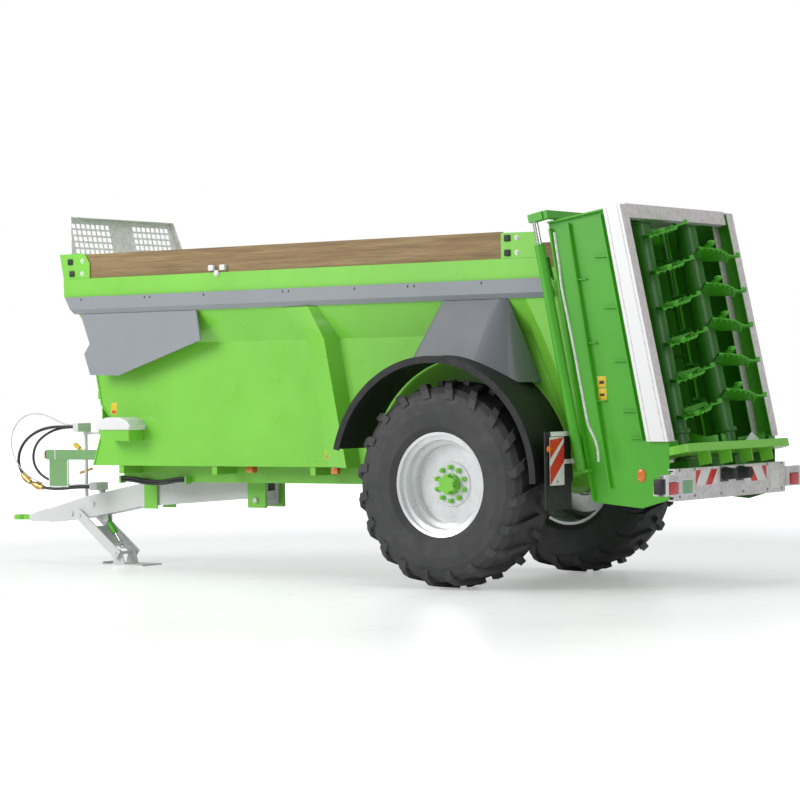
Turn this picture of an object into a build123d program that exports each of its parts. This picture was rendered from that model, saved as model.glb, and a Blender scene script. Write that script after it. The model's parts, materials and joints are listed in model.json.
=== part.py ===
"""Single-axle manure spreader with a moving floor, a slurry door and two vertical beaters.

Units are millimetres. +X points to the rear, +Y to the machine's right and +Z up. The origin is
on the ground, on the centreline, half way along the machine. Left-hand pieces lie at negative Y
and their right-hand twins are mirrored from them. In the helpers, "out" is a distance from the
centreline towards the left side, so out = 750 means y = -750.
"""

from build123d import *
from math import cos, hypot, pi, radians, sin, tan
import os

os.makedirs("parts", exist_ok=True)

# ---------------------------------------------------------------- driving dimensions
FRONT_TIP_X = -4360.0
REAR_TIP_X = 4360.0

AXLE_X = 2050.0
TYRE_R = 925.0
TYRE_WIDTH = 600.0
WHEEL_OUT = 1070.0
SPINDLE_R = 45.0
RUNNING_GAP = 0.05

WALL = 6.0
BODY_OUT = 750.0
BODY_BOTTOM_Z = 1050.0
CREASE_Z = 2250.0
FLARE_OUT = 920.0
FLARE_Z = 2560.0
WALL_TOP_Z = 2705.0
RAIL_BOTTOM_Z = 2730.0
RAIL_TOP_Z = 2910.0
RAIL_OUT = 950.0
BOARD_TOP_Z = 3150.0
STRIP_OUT = 980.0
FLOOR_Z = 1100.0
FLOOR_THICK = 12.0
FRONT_X = -2440.0
DRIVE_Z = 1008.0
DRIVE_R = 28.0

BEATER_OUT = 420.0
BEATER_LEAN = 11.37
BEATER_FOOT = (3958.0, 1300.0)
BEATER_TUBE_R = 95.0
BEATER_TOP = 1985.0
BLADE_REACH = 440.0
BLADE_PITCH = 320.0
BLADE_TILT = 12.0
DISC_R = 352.0
FRAME_OUT = 960.0
FRAME_PLATE = 8.0
FRAME_TOP = 2045.0
DOOR_AHEAD = -520.0
CYLINDER_AHEAD = -651.0
CYLINDER_OUT = 1034.0

ARCH_CENTRE = (1995.0, 965.0)
ARCH_R = 1100.0

PIVOT_X, PIVOT_Z = -950.0, 695.0
PIN_R = 25.0
STAND_PIVOT = (-3310.0, 505.0)
FOOT_PIVOT = (-2820.0, 124.0)

SIDES = (-1, 1)

# The beaters, their frame and the door share one leaning frame: local X points back, local Z
# runs up along the beater shafts.
LEAN_X = (cos(radians(BEATER_LEAN)), 0, sin(radians(BEATER_LEAN)))
LEAN_Z = (-sin(radians(BEATER_LEAN)), 0, cos(radians(BEATER_LEAN)))


def lean_plane(ahead=0.0, y=0.0, up=0.0):
    """Plane across the beater axes, moved by local back, sideways and up distances."""
    foot = Vector(BEATER_FOOT[0], y, BEATER_FOOT[1])
    origin = foot + Vector(LEAN_X) * ahead + Vector(LEAN_Z) * up
    return Plane(origin=origin, x_dir=LEAN_X, z_dir=LEAN_Z)


# ---------------------------------------------------------------- helpers
def save(piece, name):
    """Label a finished piece and write it as its own STEP file."""
    piece.part.label = name
    export_step(piece.part, f"parts/{name}.step")


def block(x, y, z, mode=Mode.ADD):
    """Box given by its low and high x, y and z."""
    with Locations(((x[0] + x[1]) / 2, (y[0] + y[1]) / 2, (z[0] + z[1]) / 2)):
        Box(x[1] - x[0], y[1] - y[0], z[1] - z[0], mode=mode)


def lean_block(back, y, up, mode=Mode.ADD):
    """Box in the leaning frame, given by its low and high local back, y and up."""
    middle = lean_plane((back[0] + back[1]) / 2, (y[0] + y[1]) / 2, (up[0] + up[1]) / 2)
    with Locations(middle):
        Box(back[1] - back[0], y[1] - y[0], up[1] - up[0], mode=mode)


def side_plate(outline, inner, outer, mode=Mode.ADD):
    """Plate on the left side: an (x, z) outline from out = inner to out = outer."""
    with BuildSketch(Plane.XZ.offset(inner)) as profile:
        Polygon(*outline, align=None)
    extrude(profile.sketch, amount=outer - inner, mode=mode)


def lengthwise(section, x0, x1, mode=Mode.ADD):
    """Bar along X: a (y, z) section from x0 to x1."""
    with BuildSketch(Plane.YZ.offset(x0)) as profile:
        Polygon(*section, align=None)
    extrude(profile.sketch, amount=x1 - x0, mode=mode)


def cross_rod(x, z, radius, inner, outer, mode=Mode.ADD):
    """Round rod along Y from out = inner to out = outer."""
    with BuildSketch(Plane.XZ.offset(inner)) as profile:
        with Locations((x, z)):
            Circle(radius)
    extrude(profile.sketch, amount=outer - inner, mode=mode)


def mirrored(piece):
    """Right-hand twin of a left-hand piece, as a shape to add to a new part."""
    return piece.part.mirror(Plane.XZ)


def strut(start, end, half_width, inner, outer, mode=Mode.ADD):
    """Flat bar on the left side between two (x, z) points, with square ends."""
    dx, dz = end[0] - start[0], end[1] - start[1]
    length = hypot(dx, dz)
    nx, nz = -dz / length * half_width, dx / length * half_width
    corners = [
        (start[0] + nx, start[1] + nz),
        (end[0] + nx, end[1] + nz),
        (end[0] - nx, end[1] - nz),
        (start[0] - nx, start[1] - nz),
    ]
    side_plate(corners, inner, outer, mode)


def slanted_x(top, bottom, z):
    """x at height z on the line between two (x, z) points."""
    return bottom[0] + (top[0] - bottom[0]) * (z - bottom[1]) / (top[1] - bottom[1])


# ---------------------------------------------------------------- chassis and axle
AXLE_TOP_Z = 970.0
RAIL_CHASSIS_OUT = (370.0, 450.0)
CHASSIS_Z = (880.0, BODY_BOTTOM_Z - 2)
LUG_OUT = (130.0, 160.0)


def make_chassis():
    """Two long rails with side ties, cross-members, drawbar lugs and a guide fork."""
    fit_up, rail_wall = 0.5, 8
    inner, outer = RAIL_CHASSIS_OUT
    cross_outs = (-inner + fit_up, inner - fit_up)
    with BuildPart() as chassis:
        block((FRONT_X + 20, 3330), (-outer, -inner), CHASSIS_Z)
        hollow_z = (CHASSIS_Z[0] + rail_wall, CHASSIS_Z[1] - rail_wall)
        hollow_out = (-outer + rail_wall, -inner - rail_wall)
        block((FRONT_X + 20 + rail_wall, 3330 - rail_wall), hollow_out, hollow_z, Mode.SUBTRACT)
        for x in (-2200, -1000, 200, 1300, 2950):
            block((x - 30, x + 30), (12 - BODY_OUT, -outer), (970, CHASSIS_Z[1]))
        block((AXLE_X - 76, AXLE_X + 76), (-500, -300), (850, AXLE_TOP_Z + 1), Mode.SUBTRACT)
        for x in (FRONT_X + 90, -1500, PIVOT_X, 300, 1500, 2700, 3280):
            block((x - 40, x + 40), cross_outs, (950, CHASSIS_Z[1]))
        block((-1060, -840), (-LUG_OUT[1], -LUG_OUT[0]), (620, CHASSIS_Z[1]))
        block((-2420, -2250), (-150, -135), (590, CHASSIS_Z[1]))
        mirror(about=Plane.XZ)
        with BuildSketch(Plane.YZ.offset(FRONT_X)) as bore:
            with Locations((0, DRIVE_Z)):
                Circle(DRIVE_R + RUNNING_GAP)
        extrude(bore.sketch, amount=6000, mode=Mode.SUBTRACT)
        cross_rod(PIVOT_X, PIVOT_Z, PIN_R + RUNNING_GAP, -200, 200, mode=Mode.SUBTRACT)
        for x in (-2420, -1560):
            block((x, x + 20), (-528, -outer), (865, 940))
    save(chassis, "chassis_frame")


def make_axle():
    """Axle beam with a spindle at each end."""
    with BuildPart() as axle:
        block((AXLE_X - 75, AXLE_X + 75), (-745, 745), (AXLE_TOP_Z - 90, AXLE_TOP_Z))
        cross_rod(AXLE_X, TYRE_R, SPINDLE_R, -1150, 1150)
    save(axle, "axle_beam")


# ---------------------------------------------------------------- hopper
def side_section(grow=0.0):
    """Section of the left wall across the machine, with its outer face moved out by grow."""
    outer = [(-BODY_OUT - grow, BODY_BOTTOM_Z), (-BODY_OUT - grow, CREASE_Z)]
    outer += [(-FLARE_OUT - grow, FLARE_Z), (-FLARE_OUT - grow, WALL_TOP_Z)]
    inner = [(-FLARE_OUT + WALL, WALL_TOP_Z), (-FLARE_OUT + WALL, FLARE_Z + 1)]
    inner += [(-BODY_OUT + WALL, CREASE_Z + 1), (-BODY_OUT + WALL, BODY_BOTTOM_Z)]
    return outer + inner


SIDE_OUTLINE = [
    (-2560, 1050),
    (-2430, 1416),
    (-2330, 1535),
    (-2440, 1655),
    (-2510, 2000),
    (-2530, 2160),
    (-2450, 2260),
    (-2565, 2570),
    (-2640, 2640),
    (-2665, 2720),
    (2700, 2720),
    (2780, 2555),
    (2900, 2085),
    (3290, 1050),
]
FRAME_FRONT_TOP = (3000.0, 3210.0)
FRAME_FRONT_FOOT = (3420.0, 775.0)


def flare_face(inner_curve, out, back_shift=0.0):
    """Side view of the rear flare at one distance out: an arc at the front, the frame behind."""
    start, middle, end = [(x + back_shift, z) for x, z in inner_curve]
    with BuildSketch(Plane.XZ.offset(out)) as face:
        with BuildLine():
            ThreePointArc(start, middle, end)
            rear_low = (slanted_x(FRAME_FRONT_TOP, FRAME_FRONT_FOOT, end[1]) - 4, end[1])
            rear_high = (slanted_x(FRAME_FRONT_TOP, FRAME_FRONT_FOOT, start[1]) - 4, start[1])
            Polyline(end, rear_low, rear_high, start)
        make_face()
    return face.sketch


def make_hopper_sides():
    """Left side wall with its pleat and rear flare, and its mirrored twin."""
    near_wall = [(2440, WALL_TOP_Z), (2735, 2085), (3165, BODY_BOTTOM_Z)]
    far_out = [(2640, WALL_TOP_Z), (2985, 2050), (3345, BODY_BOTTOM_Z)]
    pleat_outer = [
        (BODY_BOTTOM_Z, [(390, -748), (712, -895), (775, -748)]),
        (CREASE_Z, [(150, -748), (480, -905), (545, -748)]),
        (FLARE_Z - 6, [(-10, -917), (345, -968), (420, -917)]),
    ]
    pleat_inner = [
        (BODY_BOTTOM_Z - 10, [(450, -751), (708, -885), (762, -751)]),
        (CREASE_Z - 60, [(230, -751), (480, -894), (540, -751)]),
    ]
    above_crease = [(-600, CREASE_Z + 1), (-BODY_OUT + WALL, CREASE_Z + 1)]
    above_crease += [(-FLARE_OUT + WALL, FLARE_Z + 1), (-FLARE_OUT + WALL, 2800), (-600, 2800)]
    front_edge = SIDE_OUTLINE[:10]
    with BuildPart() as lip:
        lengthwise(side_section(grow=8), -2720, -2300)
        flange = [(x - 2, z) for x, z in front_edge] + [(x + 14, z) for x, z in reversed(front_edge)]
        side_plate(flange, 600, 1000, Mode.INTERSECT)
    with BuildPart() as side:
        lengthwise(side_section(), -2700, 3320)
        side_plate(SIDE_OUTLINE, 600, 1000, Mode.INTERSECT)
        for lower, upper in zip(pleat_outer, pleat_outer[1:]):
            wedge(lower, upper)
        wedge(*pleat_inner, mode=Mode.SUBTRACT)
        outer_faces = [flare_face(near_wall, BODY_OUT - WALL), flare_face(far_out, 926)]
        loft(outer_faces, ruled=True)
        inner_faces = [
            flare_face(near_wall, BODY_OUT - WALL - 4, 7),
            flare_face(far_out, 919, 10),
        ]
        loft(inner_faces, ruled=True, mode=Mode.SUBTRACT)
        lengthwise(above_crease, 2300, 3400, Mode.SUBTRACT)
        block((2300, 3400), (-930, -600), (WALL_TOP_Z - 8, WALL_TOP_Z + 8), Mode.SUBTRACT)
        cross_rod(*ARCH_CENTRE, ARCH_R + 6, 752, 1000, Mode.SUBTRACT)
        add(lip.part)
    save(side, "hopper_side_left")
    with BuildPart() as right:
        add(mirrored(side))
    save(right, "hopper_side_right")


def wedge(lower, upper, mode=Mode.ADD):
    """Solid between two (z, [(x, y), ...]) sections with the same number of corners."""
    faces = []
    for z, corners in (lower, upper):
        with BuildSketch(Plane.XY.offset(z)) as section:
            Polygon(*corners, align=None)
        faces.append(section.sketch)
    loft(faces, ruled=True, mode=mode)


def make_floor():
    """Flat bed that the scraper chain drags across."""
    inside = BODY_OUT - WALL - 1
    with BuildPart() as bed:
        block((FRONT_X + 170, 3415), (-inside, inside), (FLOOR_Z, FLOOR_Z + FLOOR_THICK))
        for side in SIDES:
            runner = sorted((side * 640, side * 660))
            block((FRONT_X + 170, 3300), runner, (FLOOR_Z - 45, FLOOR_Z))
    save(bed, "hopper_floor")


def make_front_wall():
    """Front wall: upright below the crease, leaning forward above it."""
    inside = BODY_OUT - WALL - 1
    upper_inside = FLARE_OUT - WALL - 1
    plate = 8
    profile = [(FRONT_X, FLOOR_Z - 40), (FRONT_X, CREASE_Z), (-2600, 2700), (-2685, RAIL_TOP_Z - 2)]
    outline = profile + [(x + plate, z) for x, z in reversed(profile)]
    section = [(-inside, FLOOR_Z - 50), (-inside, CREASE_Z), (-upper_inside, FLARE_Z)]
    section += [(-upper_inside, WALL_TOP_Z), (-885, WALL_TOP_Z), (-885, 3000)]
    section += [(-y, z) for y, z in reversed(section)]
    with BuildPart() as wall:
        side_plate(outline, -1000, 1000)
        for z in (1400, 1750, 2100):
            block((FRONT_X - 50, FRONT_X), (-inside, inside), (z - 40, z + 40))
        lengthwise(section, -2800, -2300, Mode.INTERSECT)
    save(wall, "front_wall")


def make_top_rails():
    """Square tubes along the top of both walls and across the front."""
    left = [(-RAIL_OUT, RAIL_BOTTOM_Z), (-RAIL_OUT, RAIL_TOP_Z), (-890, RAIL_TOP_Z)]
    left += [(-890, WALL_TOP_Z + 1), (-FLARE_OUT, WALL_TOP_Z + 1), (-FLARE_OUT, RAIL_BOTTOM_Z)]
    hollow = [(-RAIL_OUT + 6, 2740), (-RAIL_OUT + 6, 2904), (-896, 2904), (-896, 2740)]
    outline = [(-2735, 2700), (-2740, 2912), (2960, 2912), (3010, 2700)]
    with BuildPart() as rails:
        lengthwise(left, -2740, 3010)
        lengthwise(hollow, -2600, 3020, Mode.SUBTRACT)
        side_plate(outline, 700, 1000, Mode.INTERSECT)
        mirror(about=Plane.XZ)
        block((-2790, -2700), (-884, 884), (RAIL_TOP_Z + 1, RAIL_TOP_Z + 81))
    save(rails, "top_rails")


def make_trim_strips():
    """Folded grey strips under the top rails, with slanted rear ends."""
    section = [(-928, 2560), (-945, 2560), (-STRIP_OUT, 2605), (-STRIP_OUT, 2728)]
    section += [(-952, 2728), (-952, 2722), (-974, 2722), (-974, 2607), (-942, 2566), (-928, 2566)]
    outline = [(-2700, 2728), (-2605, 2560), (3025, 2560), (2945, 2728)]
    slots = (-2480, -1650, -1580, -900, 60, 130, 900, 1500, 1570, 2300)
    with BuildPart() as strips:
        lengthwise(section, -2720, 3030)
        side_plate(outline, 900, 1000, Mode.INTERSECT)
        for x in slots:
            block((x - 7, x + 7), (-990, -960), (2690, 2712), Mode.SUBTRACT)
        mirror(about=Plane.XZ)
    save(strips, "trim_strips")


def make_boards():
    """Wooden boards standing on the top rails."""
    with BuildPart() as boards:
        block((-2450, 2488), (-930, -898), (RAIL_TOP_Z + 1, BOARD_TOP_Z))
        mirror(about=Plane.XZ)
    save(boards, "top_boards")


def make_end_plates():
    """Green plates that hold the boards at both ends, with square rubber stops."""
    front = [(-2790, 3160), (-2742, 2912), (-2395, 2912), (-2395, 3060), (-2460, 3160)]
    rear = [(2490, 3140), (2490, 2912), (2900, 2912), (2840, 3135)]
    stops = ((-2645, 3080), (-2625, 2962), (2560, 3090), (2560, 2960))
    with BuildPart() as plates:
        side_plate(front, 932, 944)
        side_plate(rear, 898, 944)
        for x, z in stops:
            block((x - 26, x + 26), (-954, -944), (z - 26, z + 26))
        mirror(about=Plane.XZ)
    save(plates, "board_end_plates")


def make_stone_guard():
    """Perforated guard above the front wall, with a flange folded back all round."""
    foot_x, foot_z, top_z = -2712, 2996, 3540
    tilt = radians(13.0)
    height = (top_z - foot_z - 8) / cos(tilt)
    face = Plane(
        origin=(foot_x, 0, foot_z), x_dir=(0, 1, 0), z_dir=(cos(tilt), 0, sin(tilt))
    )
    outline = [(-880, 0), (-880, 150), (-785, height), (785, height), (880, 150), (880, 0)]
    with BuildPart() as guard:
        with BuildSketch(face) as sheet:
            Polygon(*outline, align=None)
        extrude(amount=60)
        with BuildSketch(face.offset(4)) as tray:
            Polygon(*outline, align=None)
            offset(amount=-5, kind=Kind.INTERSECTION)
        extrude(amount=80, mode=Mode.SUBTRACT)
        with BuildSketch(face.offset(-1)) as holes:
            for centre in (-460, 460):
                with Locations((centre, 310)):
                    with GridLocations(72, 66, 8, 6):
                        Rectangle(50, 46)
        extrude(amount=10, mode=Mode.SUBTRACT)
    save(guard, "stone_guard")


def make_fairings():
    """Grey side fairings ahead, shallow pans that hang clear of the wall."""
    outline = [(-2520, 2556), (-1025, 2556), (-980, 2269), (-2035, 1943)]
    outline += [(-2405, 1953), (-2480, 2163), (-2405, 2260)]
    with BuildPart() as fairings:
        side_plate(outline, 926, 948)
        with BuildSketch(Plane.XZ.offset(925)) as pocket:
            Polygon(*outline, align=None)
            offset(amount=-6, kind=Kind.INTERSECTION)
        extrude(amount=17, mode=Mode.SUBTRACT)
        for x, z in ((-2250, 2080), (-1250, 2300)):
            block((x - 25, x + 25), (-942, -BODY_OUT - 60), (z - 25, z + 25))
        mirror(about=Plane.XZ)
    save(fairings, "front_fairings")


def arch_section(z, corners, curve):
    """Plan of the arch cover at one height: straight front part, rounded rear corner."""
    with BuildSketch(Plane.XY.offset(z)) as section:
        with BuildLine():
            Polyline(*corners, curve[0])
            Spline(*curve)
            Line(curve[-1], corners[0])
        make_face()
    return section.sketch


def make_arch_covers():
    """Grey covers over the wheel arches, sloping out from the wall to the mudguard."""
    top = ([(1862, -922), (1862, -948), (1872, -952)], [(2420, -952), (2495, -944), (2545, -923)])
    low = (
        [(1540, -752), (1540, -1200), (1610, -1248)],
        [(2300, -1248), (2620, -1100), (2775, -752)],
    )
    top_in = ([(1870, -900), (1870, -940), (1878, -944)], [(2416, -944), (2488, -936), (2537, -900)])
    low_in = (
        [(1549, -700), (1549, -1196), (1614, -1240)],
        [(2296, -1240), (2612, -1094), (2766, -700)],
    )
    wall = [(-600, 1500), (-600, 2600), (-FLARE_OUT - 2, 2600), (-FLARE_OUT - 2, FLARE_Z)]
    wall += [(-BODY_OUT - 2, CREASE_Z - 1), (-BODY_OUT - 2, 1500)]
    low_z, top_z = 1820, FLARE_Z - 4
    with BuildPart() as cover:
        loft([arch_section(low_z, *low), arch_section(top_z, *top)], ruled=True)
        hollow = [arch_section(low_z - 1, *low_in), arch_section(top_z + 1, *top_in)]
        loft(hollow, ruled=True, mode=Mode.SUBTRACT)
        lengthwise(wall, 1400, 2900, Mode.SUBTRACT)
        cross_rod(*ARCH_CENTRE, ARCH_R + 4, 600, 1500, Mode.SUBTRACT)
        mirror(about=Plane.XZ)
    save(cover, "arch_covers")


def make_mudguards():
    """Black mudguards: a bent sheet over each tyre with a lip down its outer edge."""
    centre = Plane.XZ.offset(772)
    with BuildPart() as guards:
        with BuildSketch(centre) as ring:
            with Locations(ARCH_CENTRE):
                Circle(ARCH_R)
                Circle(ARCH_R - 10, mode=Mode.SUBTRACT)
        extrude(amount=610)
        with BuildSketch(Plane.XZ.offset(1370)) as lip:
            with Locations(ARCH_CENTRE):
                Circle(ARCH_R)
                Circle(ARCH_R - 62, mode=Mode.SUBTRACT)
        extrude(amount=12)
        below = [ARCH_CENTRE]
        for angle in (165.5, 180, 225, 270, 315, 359):
            reach = 1700
            below.append((ARCH_CENTRE[0] + reach * cos(radians(angle)),
                          ARCH_CENTRE[1] + reach * sin(radians(angle))))
        side_plate(below, 700, 1500, Mode.SUBTRACT)
        mirror(about=Plane.XZ)
    save(guards, "mudguards")


def make_mudflaps():
    """Rubber flaps behind the wheels."""
    with BuildPart() as flaps:
        block((3188, 3198), (-1380, -964), (720, 1390))
        mirror(about=Plane.XZ)
    save(flaps, "mudflaps")


def make_warning_boards():
    """Striped boards behind the flaps on bars from the beater frame."""
    with BuildPart() as boards:
        block((3213, 3219), (-1335, -1110), (930, 1345))
        for z in (1130, 1370):
            block((3201, 3213), (-1300, -966), (z - 20, z + 20))
        block((3201, 3345), (-984, -966), (1110, 1150))
        mirror(about=Plane.XZ)
    save(boards, "warning_boards")


def make_tool_box():
    """Small box on the left wall ahead, and its domed lid."""
    with BuildPart() as box:
        block((-2275, -1890), (-965, -BODY_OUT - 1), (1300, 1405))
        block((-2265, -1900), (-957, -BODY_OUT - 9), (1310, 1420), Mode.SUBTRACT)
        fillet(box.edges().filter_by(Axis.Z).group_by(Axis.Y)[0], 20)
    save(box, "tool_box")
    with BuildPart() as lid:
        profile = [(-2300, 1406), (-2325, 1450), (-2270, 1500), (-2180, 1532), (-2000, 1532)]
        profile += [(-1905, 1500), (-1855, 1450), (-1875, 1406)]
        side_plate(profile, BODY_OUT + 1, 990)
        fillet(lid.edges().group_by(Axis.Y)[0], 18)
    save(lid, "tool_box_lid")


def make_front_brackets():
    """Forward bars at the front corners with the position plates that hang from them."""
    with BuildPart() as brackets:
        block((-3310, FRONT_X - 62), (-640, -600), (1100, 1200))
        block((-3280, -3015), (-632, -622), (820, 1099))
        block((FRONT_X - 62, FRONT_X - 52), (-700, -560), (1080, 1320))
        mirror(about=Plane.XZ)
    save(brackets, "front_brackets")


# ---------------------------------------------------------------- beater frame
POST_TOP_FRONT = (3577.0, 3300.0)
POST_TOP_REAR = (3745.0, 3330.0)
POST_FOOT_REAR = (4185.0, 1300.0)
POST_FOOT_FRONT = (3977.0, 1300.0)


def make_beater_frames():
    """Left side of the beater frame with ribs and door guides, and its mirrored twin."""
    outline = [FRAME_FRONT_TOP, (POST_TOP_FRONT[0] - 2, 3298), (POST_FOOT_FRONT[0] - 2, 1298)]
    outline += [(4170, 1298), (4170, 805), (3900, 730), FRAME_FRONT_FOOT]
    with BuildPart() as side:
        side_plate(outline, FRAME_OUT - FRAME_PLATE, FRAME_OUT)
        strut((3030, 3150), (3436, 790), 8, FRAME_OUT, 1000)
        strut((3215, 3190), (3600, 900), 6, FRAME_OUT, 995)
        strut((3540, 3250), (3925, 1310), 6, FRAME_OUT, 990)
        strut((3010, 3203), (3570, 3290), 7, FRAME_OUT, 1000)
        for z, width in ((2890, 90), (2450, 90), (1990, 90), (1560, 90), (1330, 60)):
            x = slanted_x((3540, 3250), (3925, 1310), z)
            block((x - width - 60, x), (-992, -FRAME_OUT), (z - 6, z + 6))
        for z in (2700, 2150, 1650):
            x = slanted_x((3215, 3190), (3600, 900), z)
            block((x, x + 90), (-985, -FRAME_OUT), (z - 5, z + 5))
        block((3900, 4172), (-FRAME_OUT, -838), (1190, 1296))
        for back in (-565, -492):
            lean_block((back, back + 12), (-FRAME_OUT + 4, -910), (-60, 2030))
        lean_block((-700, -560), (-CYLINDER_OUT - 45, -FRAME_OUT - 39), (-152, -127))
    save(side, "beater_frame_left")
    with BuildPart() as right:
        add(mirrored(side))
    save(right, "beater_frame_right")


def make_rear_frame():
    """Galvanised corner posts, top beam and the roof plate between the frame sides."""
    outline = [POST_TOP_FRONT, POST_TOP_REAR, POST_FOOT_REAR, POST_FOOT_FRONT]
    with BuildPart() as rear:
        side_plate(outline, 880, 1000)
        with BuildSketch(Plane.XZ.offset(870)) as channel:
            Polygon(*outline, align=None)
            offset(amount=-9, kind=Kind.INTERSECTION)
        extrude(amount=121, mode=Mode.SUBTRACT)
        mirror(about=Plane.XZ)
        lean_block((104, 172), (-878, 878), (1925, 1933))
        lean_block((164, 172), (-878, 878), (1933, 2040))
        lean_block((-470, 172), (-878, 878), (2040, 2048))
    save(rear, "rear_frame")


def make_bearings():
    """Top bearing housings of both beaters, hung under the roof plate."""
    with BuildPart() as bearings:
        for side in SIDES:
            with Locations(lean_plane(0, side * BEATER_OUT, 1995)):
                Cylinder(80, 44, align=(Align.CENTER, Align.CENTER, Align.MIN))
                Cylinder(35 + RUNNING_GAP, 44, align=(Align.CENTER, Align.CENTER, Align.MIN),
                         mode=Mode.SUBTRACT)
    save(bearings, "top_bearings")


def make_gearboxes():
    """Beater gearboxes and the input gearbox, joined by cross shaft tubes."""
    with BuildPart() as boxes:
        for side in SIDES:
            y = side * BEATER_OUT
            lean_block((-110, 110), (y - 110, y + 110), (-330, -190))
            with Locations(lean_plane(0, y, -190)):
                Cylinder(75, 24, align=(Align.CENTER, Align.CENTER, Align.MIN))
            with Locations(lean_plane(0, y, -260)):
                Cylinder(45 + RUNNING_GAP, 100, align=(Align.CENTER, Align.CENTER, Align.MIN),
                         mode=Mode.SUBTRACT)
        lean_block((-130, 110), (-110, 110), (-370, -195))
        with BuildSketch(Plane.XZ.offset(-330)) as tube:
            with Locations((4010, 1045)):
                Circle(45)
        extrude(tube.sketch, amount=660)
        with BuildSketch(Plane.YZ.offset(3700)) as bore:
            with Locations((0, DRIVE_Z)):
                Circle(DRIVE_R + RUNNING_GAP)
        extrude(bore.sketch, amount=300, mode=Mode.SUBTRACT)
    save(boxes, "beater_gearboxes")


def make_pan():
    """Pan under the spreading discs with a rounded rear edge and slanted ribs below."""
    with BuildPart() as pan:
        with BuildSketch(lean_plane(0, 0, -158)) as plate:
            with Locations((-45, 0)):
                Rectangle(700, 1880)
        extrude(amount=10)
        with BuildSketch(lean_plane(0, 0, -162)) as lip:
            with Locations((212, 0)):
                RectangleRounded(330, 1976, 150)
        extrude(amount=70)
        with BuildSketch(lean_plane(0, 0, -148)) as recess:
            with Locations((202, 0)):
                RectangleRounded(326, 1946, 140)
        extrude(amount=100, mode=Mode.SUBTRACT)
        for side in SIDES:
            with Locations(lean_plane(0, side * BEATER_OUT, -170)):
                Cylinder(85, 60, mode=Mode.SUBTRACT)
        for y in (-560, -190, 190, 560):
            lean_block((235, 355), (y - 6, y + 6), (-270, -162))
        block((3850, 4190), (-1000, -785), (1000, 1298), Mode.SUBTRACT)
        block((3850, 4190), (785, 1000), (1000, 1298), Mode.SUBTRACT)
        block((4100, 4500), (-1000, 1000), (900, 1072), Mode.SUBTRACT)
    save(pan, "disc_pan")


def make_light_bar():
    """Galvanised bar across the rear that carries the lamps and boards."""
    with BuildPart() as bar:
        block((4232, 4246), (-1000, 1000), (795, 1067))
        block((4180, 4232), (-1000, 1000), (1055, 1067))
        block((4180, 4232), (-1000, 1000), (795, 807))
        for side in SIDES:
            arm = sorted((side * 935, side * 950))
            block((4060, 4232), arm, (830, 1040))
            lamp_arm = sorted((side * 960, side * 1270))
            block((4192, 4233), lamp_arm, (850, 930))
    save(bar, "light_bar")


def make_lamps():
    """Tail lamps, side marker lamps and reflectors."""
    with BuildPart() as lamps:
        block((4234, 4300), (-1290, -1010), (845, 1025))
        block((-690, -610), (-640, -560), (985, CHASSIS_Z[1] - 2))
        block((410, 490), (-738, -690), (985, CHASSIS_Z[1] - 2))
        with BuildSketch(Plane.XZ.offset(FRAME_OUT)) as reflector:
            with Locations((3900, 1010)):
                Ellipse(45, 60)
        extrude(amount=14)
        block((3220, 3240), (-1395, -1337), (1215, 1275))
        block((-3330, -3311), (-645, -595), (1110, 1190))
        mirror(about=Plane.XZ)
    save(lamps, "lamps")


def make_bumpers():
    """Two rubber buffers on the light bar."""
    with BuildPart() as bumpers:
        for y in (-140, 140):
            with Locations(Plane(origin=(4246, y, 1000), z_dir=(1, 0, 0))):
                Cone(60, 45, REAR_TIP_X - 4246, align=(Align.CENTER, Align.CENTER, Align.MIN))
    save(bumpers, "rubber_bumpers")


# ---------------------------------------------------------------- door and its cylinders
BARREL_R = 45.0
ROD_R = 25.0


def make_door():
    """Slurry door: a ribbed panel that slides up in the frame, with a crosshead on top."""
    with BuildPart() as door:
        lean_block((-540, -532), (-903, 903), (-36, 2080))
        for up in (-30, 400, 850, 1300, 1750):
            lean_block((-532, -504), (-903, 903), (up, up + 12))
        for side in SIDES:
            edge = sorted((side * 891, side * 903))
            lean_block((-532, -504), edge, (-36, 2080))
        lean_block((-545, -500), (-1065, 1065), (2080, 2150))
        for side in SIDES:
            arm = sorted((side * (CYLINDER_OUT - 45), side * (CYLINDER_OUT + 45)))
            lean_block((-690, -545), arm, (2080, 2150))
            with Locations(lean_plane(CYLINDER_AHEAD, side * CYLINDER_OUT, 2080)):
                Cylinder(ROD_R, 70, align=(Align.CENTER, Align.CENTER, Align.MIN),
                         mode=Mode.SUBTRACT)
    save(door, "slurry_door")


def make_door_cylinders():
    """Barrels beside the frame, and the rods that lift the door."""
    low = (Align.CENTER, Align.CENTER, Align.MIN)
    with BuildPart() as barrels:
        for side in SIDES:
            y = side * CYLINDER_OUT
            with Locations(lean_plane(CYLINDER_AHEAD, y, -125)):
                Cylinder(BARREL_R, 1999, align=low)
            with Locations(lean_plane(CYLINDER_AHEAD, y, -90)):
                Cylinder(BARREL_R - 8, 1930, align=low, mode=Mode.SUBTRACT)
            with Locations(lean_plane(CYLINDER_AHEAD, y, 1800)):
                Cylinder(ROD_R + RUNNING_GAP, 200, align=low, mode=Mode.SUBTRACT)
    save(barrels, "door_cylinder_barrels")
    with BuildPart() as rods:
        for side in SIDES:
            with Locations(lean_plane(CYLINDER_AHEAD, side * CYLINDER_OUT, 700)):
                Cylinder(ROD_R, 1450, align=low)
                Cylinder(BARREL_R - 9, 30, align=low)
    save(rods, "door_rods")


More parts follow.
